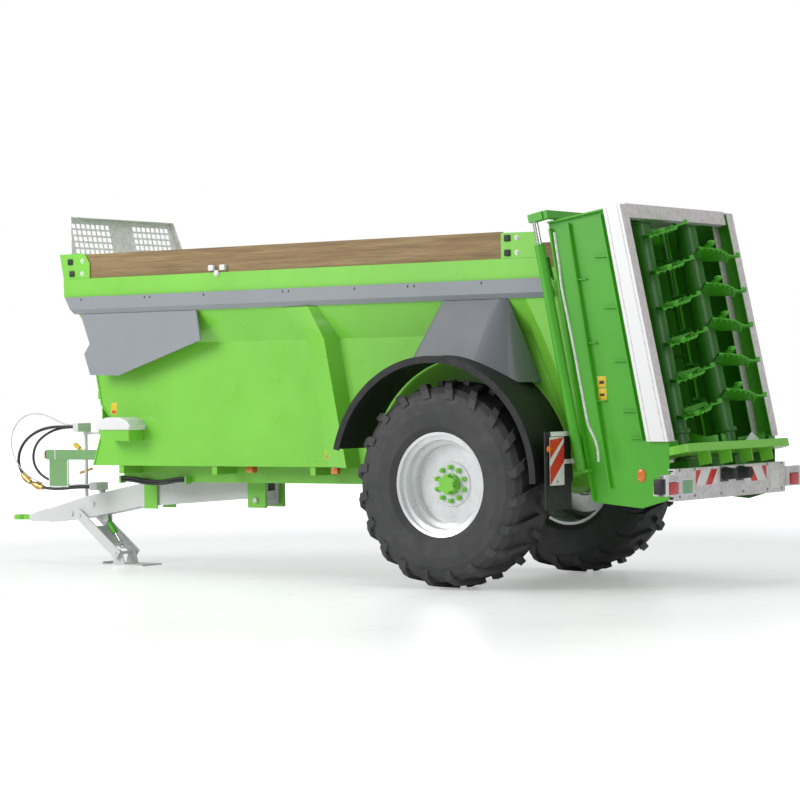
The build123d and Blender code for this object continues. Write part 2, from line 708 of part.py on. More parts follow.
def bend_radii(points):
    """Radius at each inner corner: 0.45 of the shorter run over the tangent of half the turn."""
    radii = []
    for before, corner, after in zip(points, points[1:], points[2:]):
        arriving, leaving = Vector(corner) - Vector(before), Vector(after) - Vector(corner)
        turn = radians(arriving.get_angle(leaving))
        radii.append(0.45 * min(arriving.length, leaving.length) / tan(turn / 2))
    return radii


def tube(name, points, diameter, with_mirror=False):
    """Hose, pipe or wire: straight runs joined by tangent arcs, checked by its volume."""
    points = [Vector(*point) for point in points]
    radii = bend_radii(points)
    with BuildPart() as hose:
        with BuildLine() as path:
            FilletPolyline(*points, radius=radii)
        start = Plane(origin=path.line @ 0, z_dir=path.line % 0)
        with BuildSketch(start) as section:
            Circle(diameter / 2)
        sweep()
        if with_mirror:
            mirror(about=Plane.XZ)
    length = sum(edge.length for edge in path.line.edges())
    expected = pi * diameter**2 / 4 * length * (2 if with_mirror else 1)
    print(name, "length", round(length), "radii", [round(r) for r in radii],
          "volume ratio", round(hose.part.volume / expected, 4))
    save(hose, name)


def make_pipes():
    """Steel pipes beside the door cylinders."""
    points = [(3150, -1105, 3110), (3172, -1105, 2960), (3196, -1105, 2810), (3214, -1105, 2640),
              (3324, -1105, 2140), (3410, -1105, 1700), (3462, -1105, 1440), (3520, -1100, 1340),
              (3552, -1095, 1240), (3556, -1093, 1130)]
    tube("hydraulic_pipes", points, 22, with_mirror=True)


# ---------------------------------------------------------------- wheels
def tyre_profile():
    """Half section of the tyre, as (distance from the wheel's middle, radius) corners."""
    half = TYRE_WIDTH / 2
    return [(-half + 50, 470), (-half + 14, 520), (-half, 640), (-half + 4, 730),
            (-half + 28, 810), (-half + 70, 858), (0, 884)]


def lug_envelope():
    """Section that limits the lugs: crown, shoulder and the top of the side wall."""
    half = TYRE_WIDTH / 2
    return [(-half + 14, 740), (-half + 3, 770), (-half + 14, 845), (-half + 62, 902), (0, TYRE_R)]


def revolve_about_wheel(points, side, mode=Mode.ADD):
    """Ring about the wheel's axle line: points are (offset along Y, radius)."""
    middle = side * WHEEL_OUT
    plane = Plane(origin=(AXLE_X, middle, TYRE_R), x_dir=(0, 1, 0), z_dir=(1, 0, 0))
    with BuildSketch(plane) as section:
        Polygon(*points, align=None)
    revolve(section.sketch, axis=Axis((AXLE_X, middle, TYRE_R), (0, 1, 0)), mode=mode)


def make_tyre(name, side):
    """Tractor-pattern tyre: a carcass with chevron lugs on both halves."""
    left = tyre_profile()
    bead = [(229, 470), (229, 447), (-229, 447), (-229, 470)]
    section = left + [(-y, r) for y, r in reversed(left[:-1])] + bead
    inner = [(-180, 440), (-205, 510), (-262, 640), (-255, 760), (-200, 820)]
    inner += [(-y, r) for y, r in reversed(inner)]
    envelope = lug_envelope()
    ring = envelope + [(-y, r) for y, r in reversed(envelope[:-1])]
    middle = Vector(AXLE_X, side * WHEEL_OUT, TYRE_R)
    count = 20
    with BuildPart(mode=Mode.PRIVATE) as lugs:
        for half in SIDES:
            for index in range(count):
                angle = 360 / count * (index + (0.5 if half > 0 else 0))
                radial = Vector(sin(radians(angle)), 0, cos(radians(angle)))
                plane = Plane(origin=middle + radial * 830, x_dir=(0, half, 0), z_dir=radial)
                bar = [(-12, -30 * half), (150, -90 * half), (310, -190 * half),
                       (310, -110 * half), (150, -25 * half), (-12, 30 * half)]
                with BuildSketch(plane) as shape:
                    Polygon(*bar, align=None)
                extrude(shape.sketch, amount=110)
                foot = [(225, -150 * half), (320, -200 * half), (320, -125 * half), (225, -75 * half)]
                with BuildSketch(plane.offset(-80)) as shoulder:
                    Polygon(*foot, align=None)
                extrude(shoulder.sketch, amount=100)
    with BuildPart() as tyre:
        revolve_about_wheel(ring, side)
        add(lugs.part, mode=Mode.INTERSECT)
        revolve_about_wheel(section, side)
        revolve_about_wheel(inner, side, Mode.SUBTRACT)
    save(tyre, name)


def make_rim(name, side):
    """Deep-dished steel rim with concentric steps and a bolted centre disc."""
    barrel = [(-246, 466), (-246, 440), (-200, 430), (150, 430), (205, 440), (240, 440),
              (246, 466), (238, 466), (232, 445), (-232, 445), (-238, 466)]
    dish = [(206, 441), (196, 400), (130, 392), (112, 356), (56, 346), (50, 205), (64, 196),
            (64, 96), (50, 96), (50, 186), (38, 198), (42, 356), (100, 368), (118, 404),
            (184, 412), (190, 439)]
    with BuildPart() as rim:
        revolve_about_wheel([(y * side, r) for y, r in barrel], side)
        revolve_about_wheel([(y * side, r) for y, r in dish], side)
        for angle in range(0, 360, 36):
            hole = (AXLE_X + 150 * sin(radians(angle)), TYRE_R + 150 * cos(radians(angle)))
            cross_rod(*hole, 12, *wheel_span(side, 30, 80), Mode.SUBTRACT)
    save(rim, name)


def wheel_span(side, near, far):
    """Low and high "out" between two distances measured outwards from the wheel's middle."""
    return sorted((-side * (WHEEL_OUT + near), -side * (WHEEL_OUT + far)))


def make_hub(name, side):
    """Hub on its spindle, with a lobed cap and ten wheel nuts."""
    cap = wheel_span(side, 100, 150)
    with BuildPart() as hub:
        cross_rod(AXLE_X, TYRE_R, 94, *wheel_span(side, -90, 100))
        cross_rod(AXLE_X, TYRE_R, 180, *wheel_span(side, -90, 47))
        cross_rod(AXLE_X, TYRE_R, 72, *cap)
        for angle in range(0, 360, 60):
            lobe = (AXLE_X + 72 * sin(radians(angle)), TYRE_R + 72 * cos(radians(angle)))
            cross_rod(*lobe, 20, *cap)
        cross_rod(AXLE_X, TYRE_R, SPINDLE_R + RUNNING_GAP, *wheel_span(side, -100, 85), Mode.SUBTRACT)
        near, far = wheel_span(side, 66, 92)
        for angle in range(0, 360, 36):
            stud = (AXLE_X + 150 * sin(radians(angle)), TYRE_R + 150 * cos(radians(angle)))
            with BuildSketch(Plane.XZ.offset(near)) as nut:
                with Locations(stud):
                    RegularPolygon(24, 6)
            extrude(nut.sketch, amount=far - near)
            cross_rod(*stud, 11, *wheel_span(side, 40, 104))
    save(hub, name)


# ---------------------------------------------------------------- beaters and shafts
def make_beater(label, side):
    """One vertical beater: its tube, its bladed plates and its spreading disc."""
    y = side * BEATER_OUT
    low = (Align.CENTER, Align.CENTER, Align.MIN)
    with BuildPart() as shaft:
        with Locations(lean_plane(0, y, -104)):
            Cylinder(BEATER_TUBE_R, BEATER_TOP + 104, align=low)
        with Locations(lean_plane(0, y, BEATER_TOP)):
            Cylinder(35, 50, align=low)
        with Locations(lean_plane(0, y, -250)):
            Cylinder(45, 146, align=low)
    save(shaft, f"beater_{label}_tube")
    lowest, levels = (190, 6) if side < 0 else (335, 5)
    heights = [lowest + level * BLADE_PITCH for level in range(levels)]
    plates = [paddle(y, up, facing, side) for up in heights for facing in (0, 180)]
    with BuildPart() as blades:
        for plate in plates:
            add(plate)
    save(blades, f"beater_{label}_blades")
    tip = DISC_R - 8
    with BuildPart() as disc:
        with Locations(lean_plane(0, y, -122)):
            Cylinder(DISC_R, 12, align=low)
            Cylinder(45.5, 12, align=low, mode=Mode.SUBTRACT)
        for facing in (20, 110, 200, 290):
            turned = lean_plane(0, y, -110).rotated((0, 0, facing))
            with BuildSketch(turned) as vane:
                with BuildLine():
                    ThreePointArc((110, 0), (235, 38 * side), (tip, 10 * side))
                    ThreePointArc((tip - 2, 2 * side), (237, 28 * side), (112, -9 * side))
                    Line((tip, 10 * side), (tip - 2, 2 * side))
                    Line((112, -9 * side), (110, 0))
                make_face()
            extrude(vane.sketch, amount=85, dir=LEAN_Z)
    save(disc, f"beater_{label}_disc")


def polar(radius, angle):
    """Point at a radius and an angle in degrees."""
    return (radius * cos(radians(angle)), radius * sin(radians(angle)))


def paddle(y, up, facing, side):
    """Tilted sector plate round the beater tube, with a knife near each end."""
    tilt = radians(BLADE_TILT * side)
    outward = Vector(*LEAN_X) * cos(radians(facing)) + Vector(0, sin(radians(facing)), 0)
    upward = Vector(*LEAN_Z) * cos(tilt) + Vector(*LEAN_Z).cross(outward) * sin(tilt)
    turned = Plane(origin=lean_plane(0, y, up).origin, x_dir=outward, z_dir=upward)
    spread, inner_r, outer_r, plate_thick = 48, 80, 340, 12
    with BuildPart() as plate:
        with BuildSketch(turned) as sector:
            with BuildLine():
                CenterArc((0, 0), outer_r, -spread, 2 * spread)
                CenterArc((0, 0), inner_r, -spread, 2 * spread)
                for end in (-spread, spread):
                    Line(polar(inner_r, end), polar(outer_r, end))
            make_face()
        extrude(sector.sketch, amount=plate_thick)
        for swing in (-34, 34):
            knife = [polar(270, swing - 8), polar(BLADE_REACH - 20, swing - 2)]
            knife += [polar(BLADE_REACH, swing + 3), polar(BLADE_REACH - 60, swing + 5)]
            knife.append(polar(270, swing + 8))
            with BuildSketch(turned.offset(plate_thick)) as blade:
                Polygon(*knife, align=None)
            extrude(blade.sketch, amount=14)
        with Locations(lean_plane(0, y, up - 300)):
            Cylinder(BEATER_TUBE_R + 0.3, 700, align=(Align.CENTER, Align.CENTER, Align.MIN),
                     mode=Mode.SUBTRACT)
    return plate.part


def make_driveline():
    """Shaft under the bed from the splined input stub to the beater gearbox."""
    with BuildPart() as shaft:
        with BuildSketch(Plane.YZ.offset(-2760)) as section:
            with Locations((0, DRIVE_Z)):
                Circle(DRIVE_R)
        extrude(amount=6690)
        with BuildSketch(Plane.YZ.offset(-2560)) as collar:
            with Locations((0, DRIVE_Z)):
                Circle(42)
        extrude(amount=40)
    save(shaft, "driveline_shaft")


SPROCKET_OUT = (250.0, 560.0)


def make_conveyor_shaft(name, x):
    """Cross shaft with four chain sprockets."""
    z = FLOOR_Z - 4
    with BuildPart() as shaft:
        cross_rod(x, z, 24, -640, 640)
        for side in SIDES:
            for out in SPROCKET_OUT:
                centre = side * out
                with BuildSketch(Plane.XZ.offset(centre - 12)) as wheel:
                    with Locations((x, z)):
                        Circle(40)
                        with PolarLocations(40, 8):
                            Rectangle(9, 16)
                extrude(wheel.sketch, amount=24)
    save(shaft, name)


def make_scraper():
    """Upper run of the scraper floor: four chains and the bars that they pull."""
    top = FLOOR_Z + FLOOR_THICK + 1
    with BuildPart() as scraper:
        for side in SIDES:
            for out in SPROCKET_OUT:
                chain = sorted((side * out - 14, side * out + 14))
                block((FRONT_X + 170, 3395), chain, (top, top + 18))
        for index in range(15):
            x = FRONT_X + 250 + index * 390
            block((x - 22, x + 22), (-700, 700), (top + 18, top + 34))
    save(scraper, "scraper_chain")


# ---------------------------------------------------------------- drawbar and stand
BEAM_HALF = 120.0
BEAM_TOP = [(-880, 925), (-1100, 942), (-2520, 838), (-3250, 700), (-3735, 575)]
BEAM_LOW = [(-3770, 425), (-3250, 478), (-2520, 604), (-1100, 705), (-1000, 640), (-890, 640)]


def make_drawbar():
    """Box-section drawbar with its pivot pin and the stand cylinder's ears."""
    outline = BEAM_TOP + BEAM_LOW
    with BuildPart() as beam:
        side_plate(outline, -BEAM_HALF, BEAM_HALF)
        with BuildSketch(Plane.XZ.offset(-BEAM_HALF + 10)) as hollow:
            Polygon(*outline, align=None)
            offset(amount=-10, kind=Kind.INTERSECTION)
        extrude(amount=2 * BEAM_HALF - 20, mode=Mode.SUBTRACT)
        block((-895, -860), (-60, 60), (700, 880), Mode.SUBTRACT)
        cross_rod(PIVOT_X, PIVOT_Z, PIN_R, -190, 190)
        for out in (22, -37):
            ear = [(-3098, 530), (-3025, 545), (-3025, 450), (-3045, 434), (-3075, 434), (-3098, 450)]
            side_plate(ear, out, out + 15)
        cross_rod(-3060, 462, 14, -37, 37)
        cross_rod(*STAND_PIVOT, 20 + RUNNING_GAP, -200, 200, Mode.SUBTRACT)
    save(beam, "drawbar_beam")


def make_nose():
    """Bolted nose of the drawbar and the green coupling eye ahead of it."""
    with BuildPart() as nose:
        outline = [(-3774, 430), (-3741, 570), (-3860, 560), (-4030, 515), (-4085, 490)]
        outline += [(-4085, 440), (-4030, 425)]
        side_plate(outline, -85, 85)
        for x, z in ((-3450, 520), (-3150, 625)):
            cross_rod(x, z, 26, BEAM_HALF + 0.5, BEAM_HALF + 16)
            cross_rod(x, z, 26, -BEAM_HALF - 16, -BEAM_HALF - 0.5)
    save(nose, "drawbar_nose")
    with BuildPart() as eye:
        with BuildSketch(Plane.XY.offset(440)) as ring:
            with Locations((FRONT_TIP_X + 75, 0)):
                Circle(75)
            with Locations((FRONT_TIP_X + 180, 0)):
                Rectangle(188, 70)
        extrude(amount=50)
        with BuildSketch(Plane.XY.offset(430)) as bore:
            with Locations((FRONT_TIP_X + 75, 0)):
                Circle(25)
        extrude(amount=70, mode=Mode.SUBTRACT)
    save(eye, "coupling_eye")


LEG_INNER, LEG_OUTER = BEAM_HALF + 18.0, BEAM_HALF + 33.0


def make_stand():
    """Parking stand: leg, foot, and the cylinder that swings the leg up."""
    ux, uz = FOOT_PIVOT[0] - STAND_PIVOT[0], FOOT_PIVOT[1] - STAND_PIVOT[1]
    length = hypot(ux, uz)
    ux, uz = ux / length, uz / length
    with BuildPart() as leg:
        start = (STAND_PIVOT[0] - 45 * ux, STAND_PIVOT[1] - 45 * uz)
        end = (FOOT_PIVOT[0] + 40 * ux, FOOT_PIVOT[1] + 40 * uz)
        strut(start, end, 52, LEG_INNER, LEG_OUTER)
        mirror(about=Plane.XZ)
        web_start = (STAND_PIVOT[0] + 150 * ux + 40 * uz, STAND_PIVOT[1] + 150 * uz - 40 * ux)
        web_end = (STAND_PIVOT[0] + 440 * ux + 40 * uz, STAND_PIVOT[1] + 440 * uz - 40 * ux)
        strut(web_start, web_end, 7, -LEG_INNER, LEG_INNER)
        cross_rod(*STAND_PIVOT, 20, -LEG_OUTER - 10, LEG_OUTER + 10)
        cross_rod(*FOOT_PIVOT, 16, -LEG_OUTER - 8, LEG_OUTER + 8)
        cross_rod(*ROD_END, 14, -LEG_INNER, LEG_INNER)
    save(leg, "stand_leg")
    with BuildPart() as foot:
        block((-3010, -2460), (-150, 150), (0, 14))
        block((-3010, -2996), (-150, 150), (14, 34))
        ear = [(-2900, 14), (-2740, 14), (-2780, 150), (-2800, 160), (-2840, 160), (-2860, 150)]
        side_plate(ear, 96, 110)
        side_plate(ear, -110, -96)
        cross_rod(*FOOT_PIVOT, 16 + RUNNING_GAP, -160, 160, Mode.SUBTRACT)
    save(foot, "stand_foot")


BARREL_TOP = (-3060.0, 462.0)
ROD_END = (-2862.0, 206.0)


def make_stand_cylinder():
    """Barrel hung from the drawbar, and the rod whose open eye rides round the leg's pin."""
    dx, dz = ROD_END[0] - BARREL_TOP[0], ROD_END[1] - BARREL_TOP[1]
    length = hypot(dx, dz)
    along = Plane(origin=(BARREL_TOP[0], 0, BARREL_TOP[1]), z_dir=(dx, 0, dz))
    low = (Align.CENTER, Align.CENTER, Align.MIN)
    with BuildPart() as barrel:
        with Locations(along.offset(10)):
            Cylinder(19, 60, align=low)
        with Locations(along.offset(46)):
            Cylinder(34, 128, align=low)
        with Locations(along.offset(66)):
            Cylinder(26, 94, align=low, mode=Mode.SUBTRACT)
        with Locations(along.offset(150)):
            Cylinder(17 + RUNNING_GAP, 40, align=low, mode=Mode.SUBTRACT)
        cross_rod(*BARREL_TOP, 30, -20, 20)
        cross_rod(*BARREL_TOP, 14 + RUNNING_GAP, -40, 40, Mode.SUBTRACT)
    save(barrel, "stand_barrel")
    with BuildPart() as rod:
        with Locations(along.offset(135)):
            Cylinder(17, length - 135 - 34, align=low)
        cross_rod(*ROD_END, 44, -18, 18)
        cross_rod(*ROD_END, 33, -30, 30, Mode.SUBTRACT)
    save(rod, "stand_rod")


# ---------------------------------------------------------------- hoses
def make_hose_mast():
    """Mast on the drawbar with the clamp that the hoses come out of and the block they enter."""
    with BuildPart() as mast:
        with BuildSketch(Plane.XY.offset(702)) as foot:
            with Locations((-3275, -75)):
                Circle(18)
        extrude(amount=672)
        block((-3293, -2620), (-93, -57), (1340, 1372))
        block((-3310, -3240), (-232, -34), (1372, 1460))
        block((-3110, -3010), (-215, -40), (770, 850))
        block((-3075, -3045), (-110, -40), (742, 771))
    save(mast, "hose_mast")


def make_hoses():
    """Free hoses from the clamp, forward in a loop and back to the block on the drawbar."""
    pressure = [(-3310, -188, 1425), (-3470, -188, 1425), (-3645, -192, 1424), (-3820, -200, 1388),
                (-3975, -212, 1310), (-4070, -225, 1195), (-4095, -235, 1065), (-4035, -240, 935),
                (-3905, -240, 838), (-3720, -230, 785), (-3520, -214, 778), (-3315, -188, 800),
                (-3110, -188, 800)]
    tube("pressure_hose", pressure, 30)
    returning = [(-3310, -144, 1420), (-3460, -144, 1420), (-3620, -138, 1402),
                 (-3780, -130, 1350), (-3915, -122, 1270), (-3990, -114, 1155),
                 (-3990, -108, 1030), (-3905, -104, 925), (-3760, -106, 860), (-3585, -112, 822),
                 (-3425, -117, 806), (-3268, -120, 810), (-3110, -120, 810)]
    tube("return_hose", returning, 26)
    wire = [(-3310, -218, 1444), (-3405, -218, 1444), (-3505, -219, 1472), (-3618, -224, 1522),
            (-3745, -232, 1560), (-3878, -242, 1566), (-4000, -252, 1530), (-4095, -260, 1452),
            (-4147, -266, 1350), (-4157, -270, 1240), (-4124, -272, 1130), (-4058, -270, 1030),
            (-3962, -268, 940), (-3838, -264, 872), (-3690, -256, 832), (-3545, -242, 816),
            (-3405, -222, 816), (-3258, -204, 830), (-3110, -204, 830)]
    tube("brake_cable", wire, 12)
    held = [(-2400, -490, 905), (-2290, -490, 905), (-2170, -494, 888), (-2050, -500, 874),
            (-1920, -502, 872), (-1790, -497, 884), (-1670, -490, 905), (-1560, -490, 905)]
    tube("chassis_hoses", held, 60)


def main():
    """Make every piece and write its STEP file."""
    make_chassis()
    make_axle()
    make_hopper_sides()
    make_floor()
    make_front_wall()
    make_top_rails()
    make_trim_strips()
    make_boards()
    make_end_plates()
    make_stone_guard()
    make_fairings()
    make_arch_covers()
    make_mudguards()
    make_mudflaps()
    make_warning_boards()
    make_tool_box()
    make_front_brackets()
    make_beater_frames()
    make_rear_frame()
    make_bearings()
    make_gearboxes()
    make_pan()
    make_light_bar()
    make_lamps()
    make_bumpers()
    make_door()
    make_door_cylinders()
    make_pipes()
    for label, side in (("left", -1), ("right", 1)):
        make_tyre(f"tyre_{label}", side)
        make_rim(f"rim_{label}", side)
        make_hub(f"hub_{label}", side)
        make_beater(label, side)
    make_driveline()
    make_conveyor_shaft("conveyor_drive_shaft", 3490.0)
    make_conveyor_shaft("conveyor_idler_shaft", FRONT_X + 110)
    make_scraper()
    make_drawbar()
    make_nose()
    make_stand()
    make_stand_cylinder()
    make_hose_mast()
    make_hoses()


main()
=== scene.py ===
"""Looks of the manure spreader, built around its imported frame.

Lengths are metres in the frame's own axes: +X to the rear, +Y to the machine's right, +Z up.
"""
import json
import math

import bmesh
import bpy
from mathutils import Matrix, Vector


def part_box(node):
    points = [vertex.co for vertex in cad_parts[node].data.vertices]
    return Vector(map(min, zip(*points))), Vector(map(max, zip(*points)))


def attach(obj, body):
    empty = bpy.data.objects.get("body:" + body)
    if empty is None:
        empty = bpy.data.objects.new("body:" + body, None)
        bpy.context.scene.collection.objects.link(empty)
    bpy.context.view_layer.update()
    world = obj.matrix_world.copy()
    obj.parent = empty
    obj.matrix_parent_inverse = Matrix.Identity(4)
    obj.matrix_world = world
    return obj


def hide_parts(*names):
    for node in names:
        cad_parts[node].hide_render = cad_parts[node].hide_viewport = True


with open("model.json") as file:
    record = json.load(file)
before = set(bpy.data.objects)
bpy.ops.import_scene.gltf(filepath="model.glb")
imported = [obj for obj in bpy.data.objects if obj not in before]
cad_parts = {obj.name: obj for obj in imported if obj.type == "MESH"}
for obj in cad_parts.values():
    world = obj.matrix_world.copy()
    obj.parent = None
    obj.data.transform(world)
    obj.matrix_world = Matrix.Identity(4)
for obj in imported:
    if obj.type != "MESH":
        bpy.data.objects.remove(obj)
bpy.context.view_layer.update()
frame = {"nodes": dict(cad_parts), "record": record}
SCENE = bpy.context.scene
NODES = frame["nodes"]
JOINTS = {joint["name"]: joint for joint in frame["record"]["behaviour"]["joints"]}


# ---------------------------------------------------------------- camera, light and floor
CAMERA_AZIMUTH = math.radians(35.668)
CAMERA_ELEVATION = math.radians(0.407)
CAMERA_ROLL = math.radians(-0.876)
CAMERA_PLACE = Vector((15.2737, -20.3177, 1.8432))
CAMERA_LENS = 118.2


def make_camera():
    """Long-lens camera behind and to the left of the machine."""
    data = bpy.data.cameras.new("camera")
    data.lens = CAMERA_LENS
    data.sensor_width = 36.0
    data.clip_end = 400.0
    camera = bpy.data.objects.new("camera", data)
    SCENE.collection.objects.link(camera)
    flat = math.cos(CAMERA_ELEVATION)
    back = Vector((math.sin(CAMERA_AZIMUTH) * flat, -math.cos(CAMERA_AZIMUTH) * flat,
                   math.sin(CAMERA_ELEVATION)))
    level = Vector((math.cos(CAMERA_AZIMUTH), math.sin(CAMERA_AZIMUTH), 0))
    turn = Matrix.Rotation(CAMERA_ROLL, 3, back)
    right = turn @ level
    up = turn @ back.cross(level)
    camera.matrix_world = Matrix.Translation(CAMERA_PLACE) @ Matrix((right, up, back)).transposed().to_4x4()
    SCENE.camera = camera


def area_light(name, place, target, size, power):
    """Soft square light that looks from one point to another."""
    data = bpy.data.lights.new(name, "AREA")
    data.size = size
    data.energy = power
    light = bpy.data.objects.new(name, data)
    light.location = place
    light.rotation_euler = (Vector(target) - Vector(place)).to_track_quat("-Z", "Y").to_euler()
    SCENE.collection.objects.link(light)


def make_light():
    """White studio: a bright world that looks white, a large key on the left side and weak fills."""
    SCENE.view_settings.view_transform = "Standard"
    world = bpy.data.worlds.new("studio")
    world.use_nodes = True
    SCENE.world = world
    nodes, links = world.node_tree.nodes, world.node_tree.links
    seen = nodes["Background"]
    seen.inputs["Color"].default_value = (1.0, 1.0, 1.0, 1.0)
    seen.inputs["Strength"].default_value = 1.0
    lit = nodes.new("ShaderNodeBackground")
    lit.inputs["Color"].default_value = (0.96, 0.98, 1.0, 1.0)
    lit.inputs["Strength"].default_value = 0.42
    ray = nodes.new("ShaderNodeLightPath")
    mix = nodes.new("ShaderNodeMixShader")
    links.new(ray.outputs["Is Camera Ray"], mix.inputs["Fac"])
    links.new(lit.outputs["Background"], mix.inputs[1])
    links.new(seen.outputs["Background"], mix.inputs[2])
    links.new(mix.outputs["Shader"], nodes["World Output"].inputs["Surface"])
    area_light("key", (-9.0, -15.0, 9.0), (-0.5, 0.0, 1.5), 9.0, 1780.0)
    area_light("top", (0.0, 0.0, 13.0), (0.5, 0.0, 0.0), 10.0, 520.0)
    area_light("rear", (16.0, -4.0, 7.0), (3.0, 0.0, 1.8), 6.0, 230.0)


def make_floor():
    """Pale, slightly glossy floor."""
    mesh = bpy.data.meshes.new("floor")
    reach = 60.0
    corners = [(-reach, -reach, 0), (reach, -reach, 0), (reach, reach, 0), (-reach, reach, 0)]
    mesh.from_pydata(corners, [], [(0, 1, 2, 3)])
    floor = bpy.data.objects.new("floor", mesh)
    SCENE.collection.objects.link(floor)
    surface = Surface("floor_paper", (0.96, 0.96, 0.96), 0.30)
    surface.shade(surface.noise(0.8, 3), 0.997, 1.0)
    surface.roughness(surface.noise(2.0, 3), 0.27, 0.30)
    surface.shader.inputs["Emission Color"].default_value = (1.0, 1.0, 1.0, 1.0)
    surface.links.new(surface.seen_glow(0.30, 0.9, 6.0, 15.0), surface.shader.inputs["Emission Strength"])
    mesh.materials.append(surface.material)


# ---------------------------------------------------------------- materials
BODY_GREEN = (0.225, 0.67, 0.058)
FRAME_GREEN = (0.082, 0.47, 0.018)
# Darker green painted as shade on faces that stand in shade. It is not a paint colour of its own.
PAINTED_SHADE_GREEN = (0.030, 0.20, 0.008)


class Surface:
    """A principled material whose colour, roughness and relief come from procedural nodes."""

    def __init__(self, name, colour, rough, metallic=0.0, coat=0.0):
        self.material = bpy.data.materials.new(name)
        self.material.use_nodes = True
        self.nodes = self.material.node_tree.nodes
        self.links = self.material.node_tree.links
        self.shader = self.nodes["Principled BSDF"]
        self.shader.inputs["Roughness"].default_value = rough
        self.shader.inputs["Metallic"].default_value = metallic
        self.shader.inputs["Coat Weight"].default_value = coat
        self.shader.inputs["Coat Roughness"].default_value = 0.06
        self.shader.inputs["Base Color"].default_value = (*colour, 1.0)
        self.colour = (*colour, 1.0)
        self.colour_out = None
        self.place = self.nodes.new("ShaderNodeTexCoord")

    def stretched(self, scale):
        """Object coordinates scaled by a different amount along each axis."""
        mapping = self.nodes.new("ShaderNodeMapping")
        mapping.inputs["Scale"].default_value = scale
        self.links.new(self.place.outputs["Object"], mapping.inputs["Vector"])
        return mapping.outputs["Vector"]

    def noise(self, scale, detail=4.0, stretch=(1, 1, 1), distortion=0.0):
        """Noise value, optionally stretched along the axes."""
        node = self.nodes.new("ShaderNodeTexNoise")
        node.inputs["Scale"].default_value = scale
        node.inputs["Detail"].default_value = detail
        node.inputs["Distortion"].default_value = distortion
        self.links.new(self.stretched(stretch), node.inputs["Vector"])
        return node.outputs["Fac"]

    def cells(self, scale, stretch=(1, 1, 1)):
        """Random grey value for each cell of a cell pattern."""
        node = self.nodes.new("ShaderNodeTexVoronoi")
        node.inputs["Scale"].default_value = scale
        self.links.new(self.stretched(stretch), node.inputs["Vector"])
        split = self.nodes.new("ShaderNodeSeparateColor")
        self.links.new(node.outputs["Color"], split.inputs["Color"])
        return split.outputs["Red"]

    def ranged(self, value, low, high, start=0.3, end=0.7):
        """Value between start and end spread to low and high."""
        node = self.nodes.new("ShaderNodeMapRange")
        node.inputs["From Min"].default_value = start
        node.inputs["From Max"].default_value = end
        node.inputs["To Min"].default_value = low
        node.inputs["To Max"].default_value = high
        self.links.new(value, node.inputs["Value"])
        return node.outputs["Result"]

    def height(self, low, high):
        """0 below one height above the ground and 1 above another."""
        split = self.nodes.new("ShaderNodeSeparateXYZ")
        self.links.new(self.place.outputs["Object"], split.inputs["Vector"])
        return self.ranged(split.outputs["Z"], 0.0, 1.0, low, high)

    def sideways(self, start, end):
        """0 to 1 as the way a face looks goes from start to end: 1 is away from the middle, -1 to it."""
        normal = self.nodes.new("ShaderNodeSeparateXYZ")
        self.links.new(self.place.outputs["Normal"], normal.inputs["Vector"])
        place = self.nodes.new("ShaderNodeSeparateXYZ")
        self.links.new(self.place.outputs["Object"], place.inputs["Vector"])
        side = self.nodes.new("ShaderNodeMath")
        side.operation = "SIGN"
        self.links.new(place.outputs["Y"], side.inputs[0])
        product = self.nodes.new("ShaderNodeMath")
        product.operation = "MULTIPLY"
        self.links.new(side.outputs[0], product.inputs[0])
        self.links.new(normal.outputs["Y"], product.inputs[1])
        return self.ranged(product.outputs[0], 0.0, 1.0, start, end)

    def seen_glow(self, near, far, start, end):
        """Glow for the camera alone, from one strength near the origin to another far away."""
        distance = self.nodes.new("ShaderNodeVectorMath")
        distance.operation = "LENGTH"
        self.links.new(self.place.outputs["Object"], distance.inputs[0])
        glow = self.ranged(distance.outputs["Value"], near, far, start, end)
        ray = self.nodes.new("ShaderNodeLightPath")
        seen = self.nodes.new("ShaderNodeMath")
        seen.operation = "MULTIPLY"
        self.links.new(glow, seen.inputs[0])
        self.links.new(ray.outputs["Is Camera Ray"], seen.inputs[1])
        return seen.outputs[0]

    def blend(self, factor, other):
        """Another colour where factor is 1, over what the colour is so far."""
        mix = self.nodes.new("ShaderNodeMix")
        mix.data_type = "RGBA"
        mix.inputs["A"].default_value = self.colour
        mix.inputs["B"].default_value = (*other, 1.0)
        if self.colour_out is not None:
            self.links.new(self.colour_out, mix.inputs["A"])
        self.links.new(factor, mix.inputs["Factor"])
        self.colour_out = mix.outputs["Result"]
        self.links.new(self.colour_out, self.shader.inputs["Base Color"])
        return self

    def shade(self, factor, low, high):
        """Colour made darker or lighter by a pattern, between two multiples of itself."""
        dark = tuple(channel * low for channel in self.colour[:3])
        light = tuple(min(1.0, channel * high) for channel in self.colour[:3])
        if self.colour_out is None:
            self.colour = (*light, 1.0)
        return self.blend(self.ranged(factor, 1.0, 0.0), dark)

    def roughness(self, value, low, high):
        """Roughness that follows a pattern."""
        self.links.new(self.ranged(value, low, high), self.shader.inputs["Roughness"])
        return self

    def relief(self, value, strength, distance):
        """Small bumps that follow a pattern."""
        bump = self.nodes.new("ShaderNodeBump")
        bump.inputs["Strength"].default_value = strength
        bump.inputs["Distance"].default_value = distance
        self.links.new(value, bump.inputs["Height"])
        self.links.new(bump.outputs["Normal"], self.shader.inputs["Normal"])
        return self


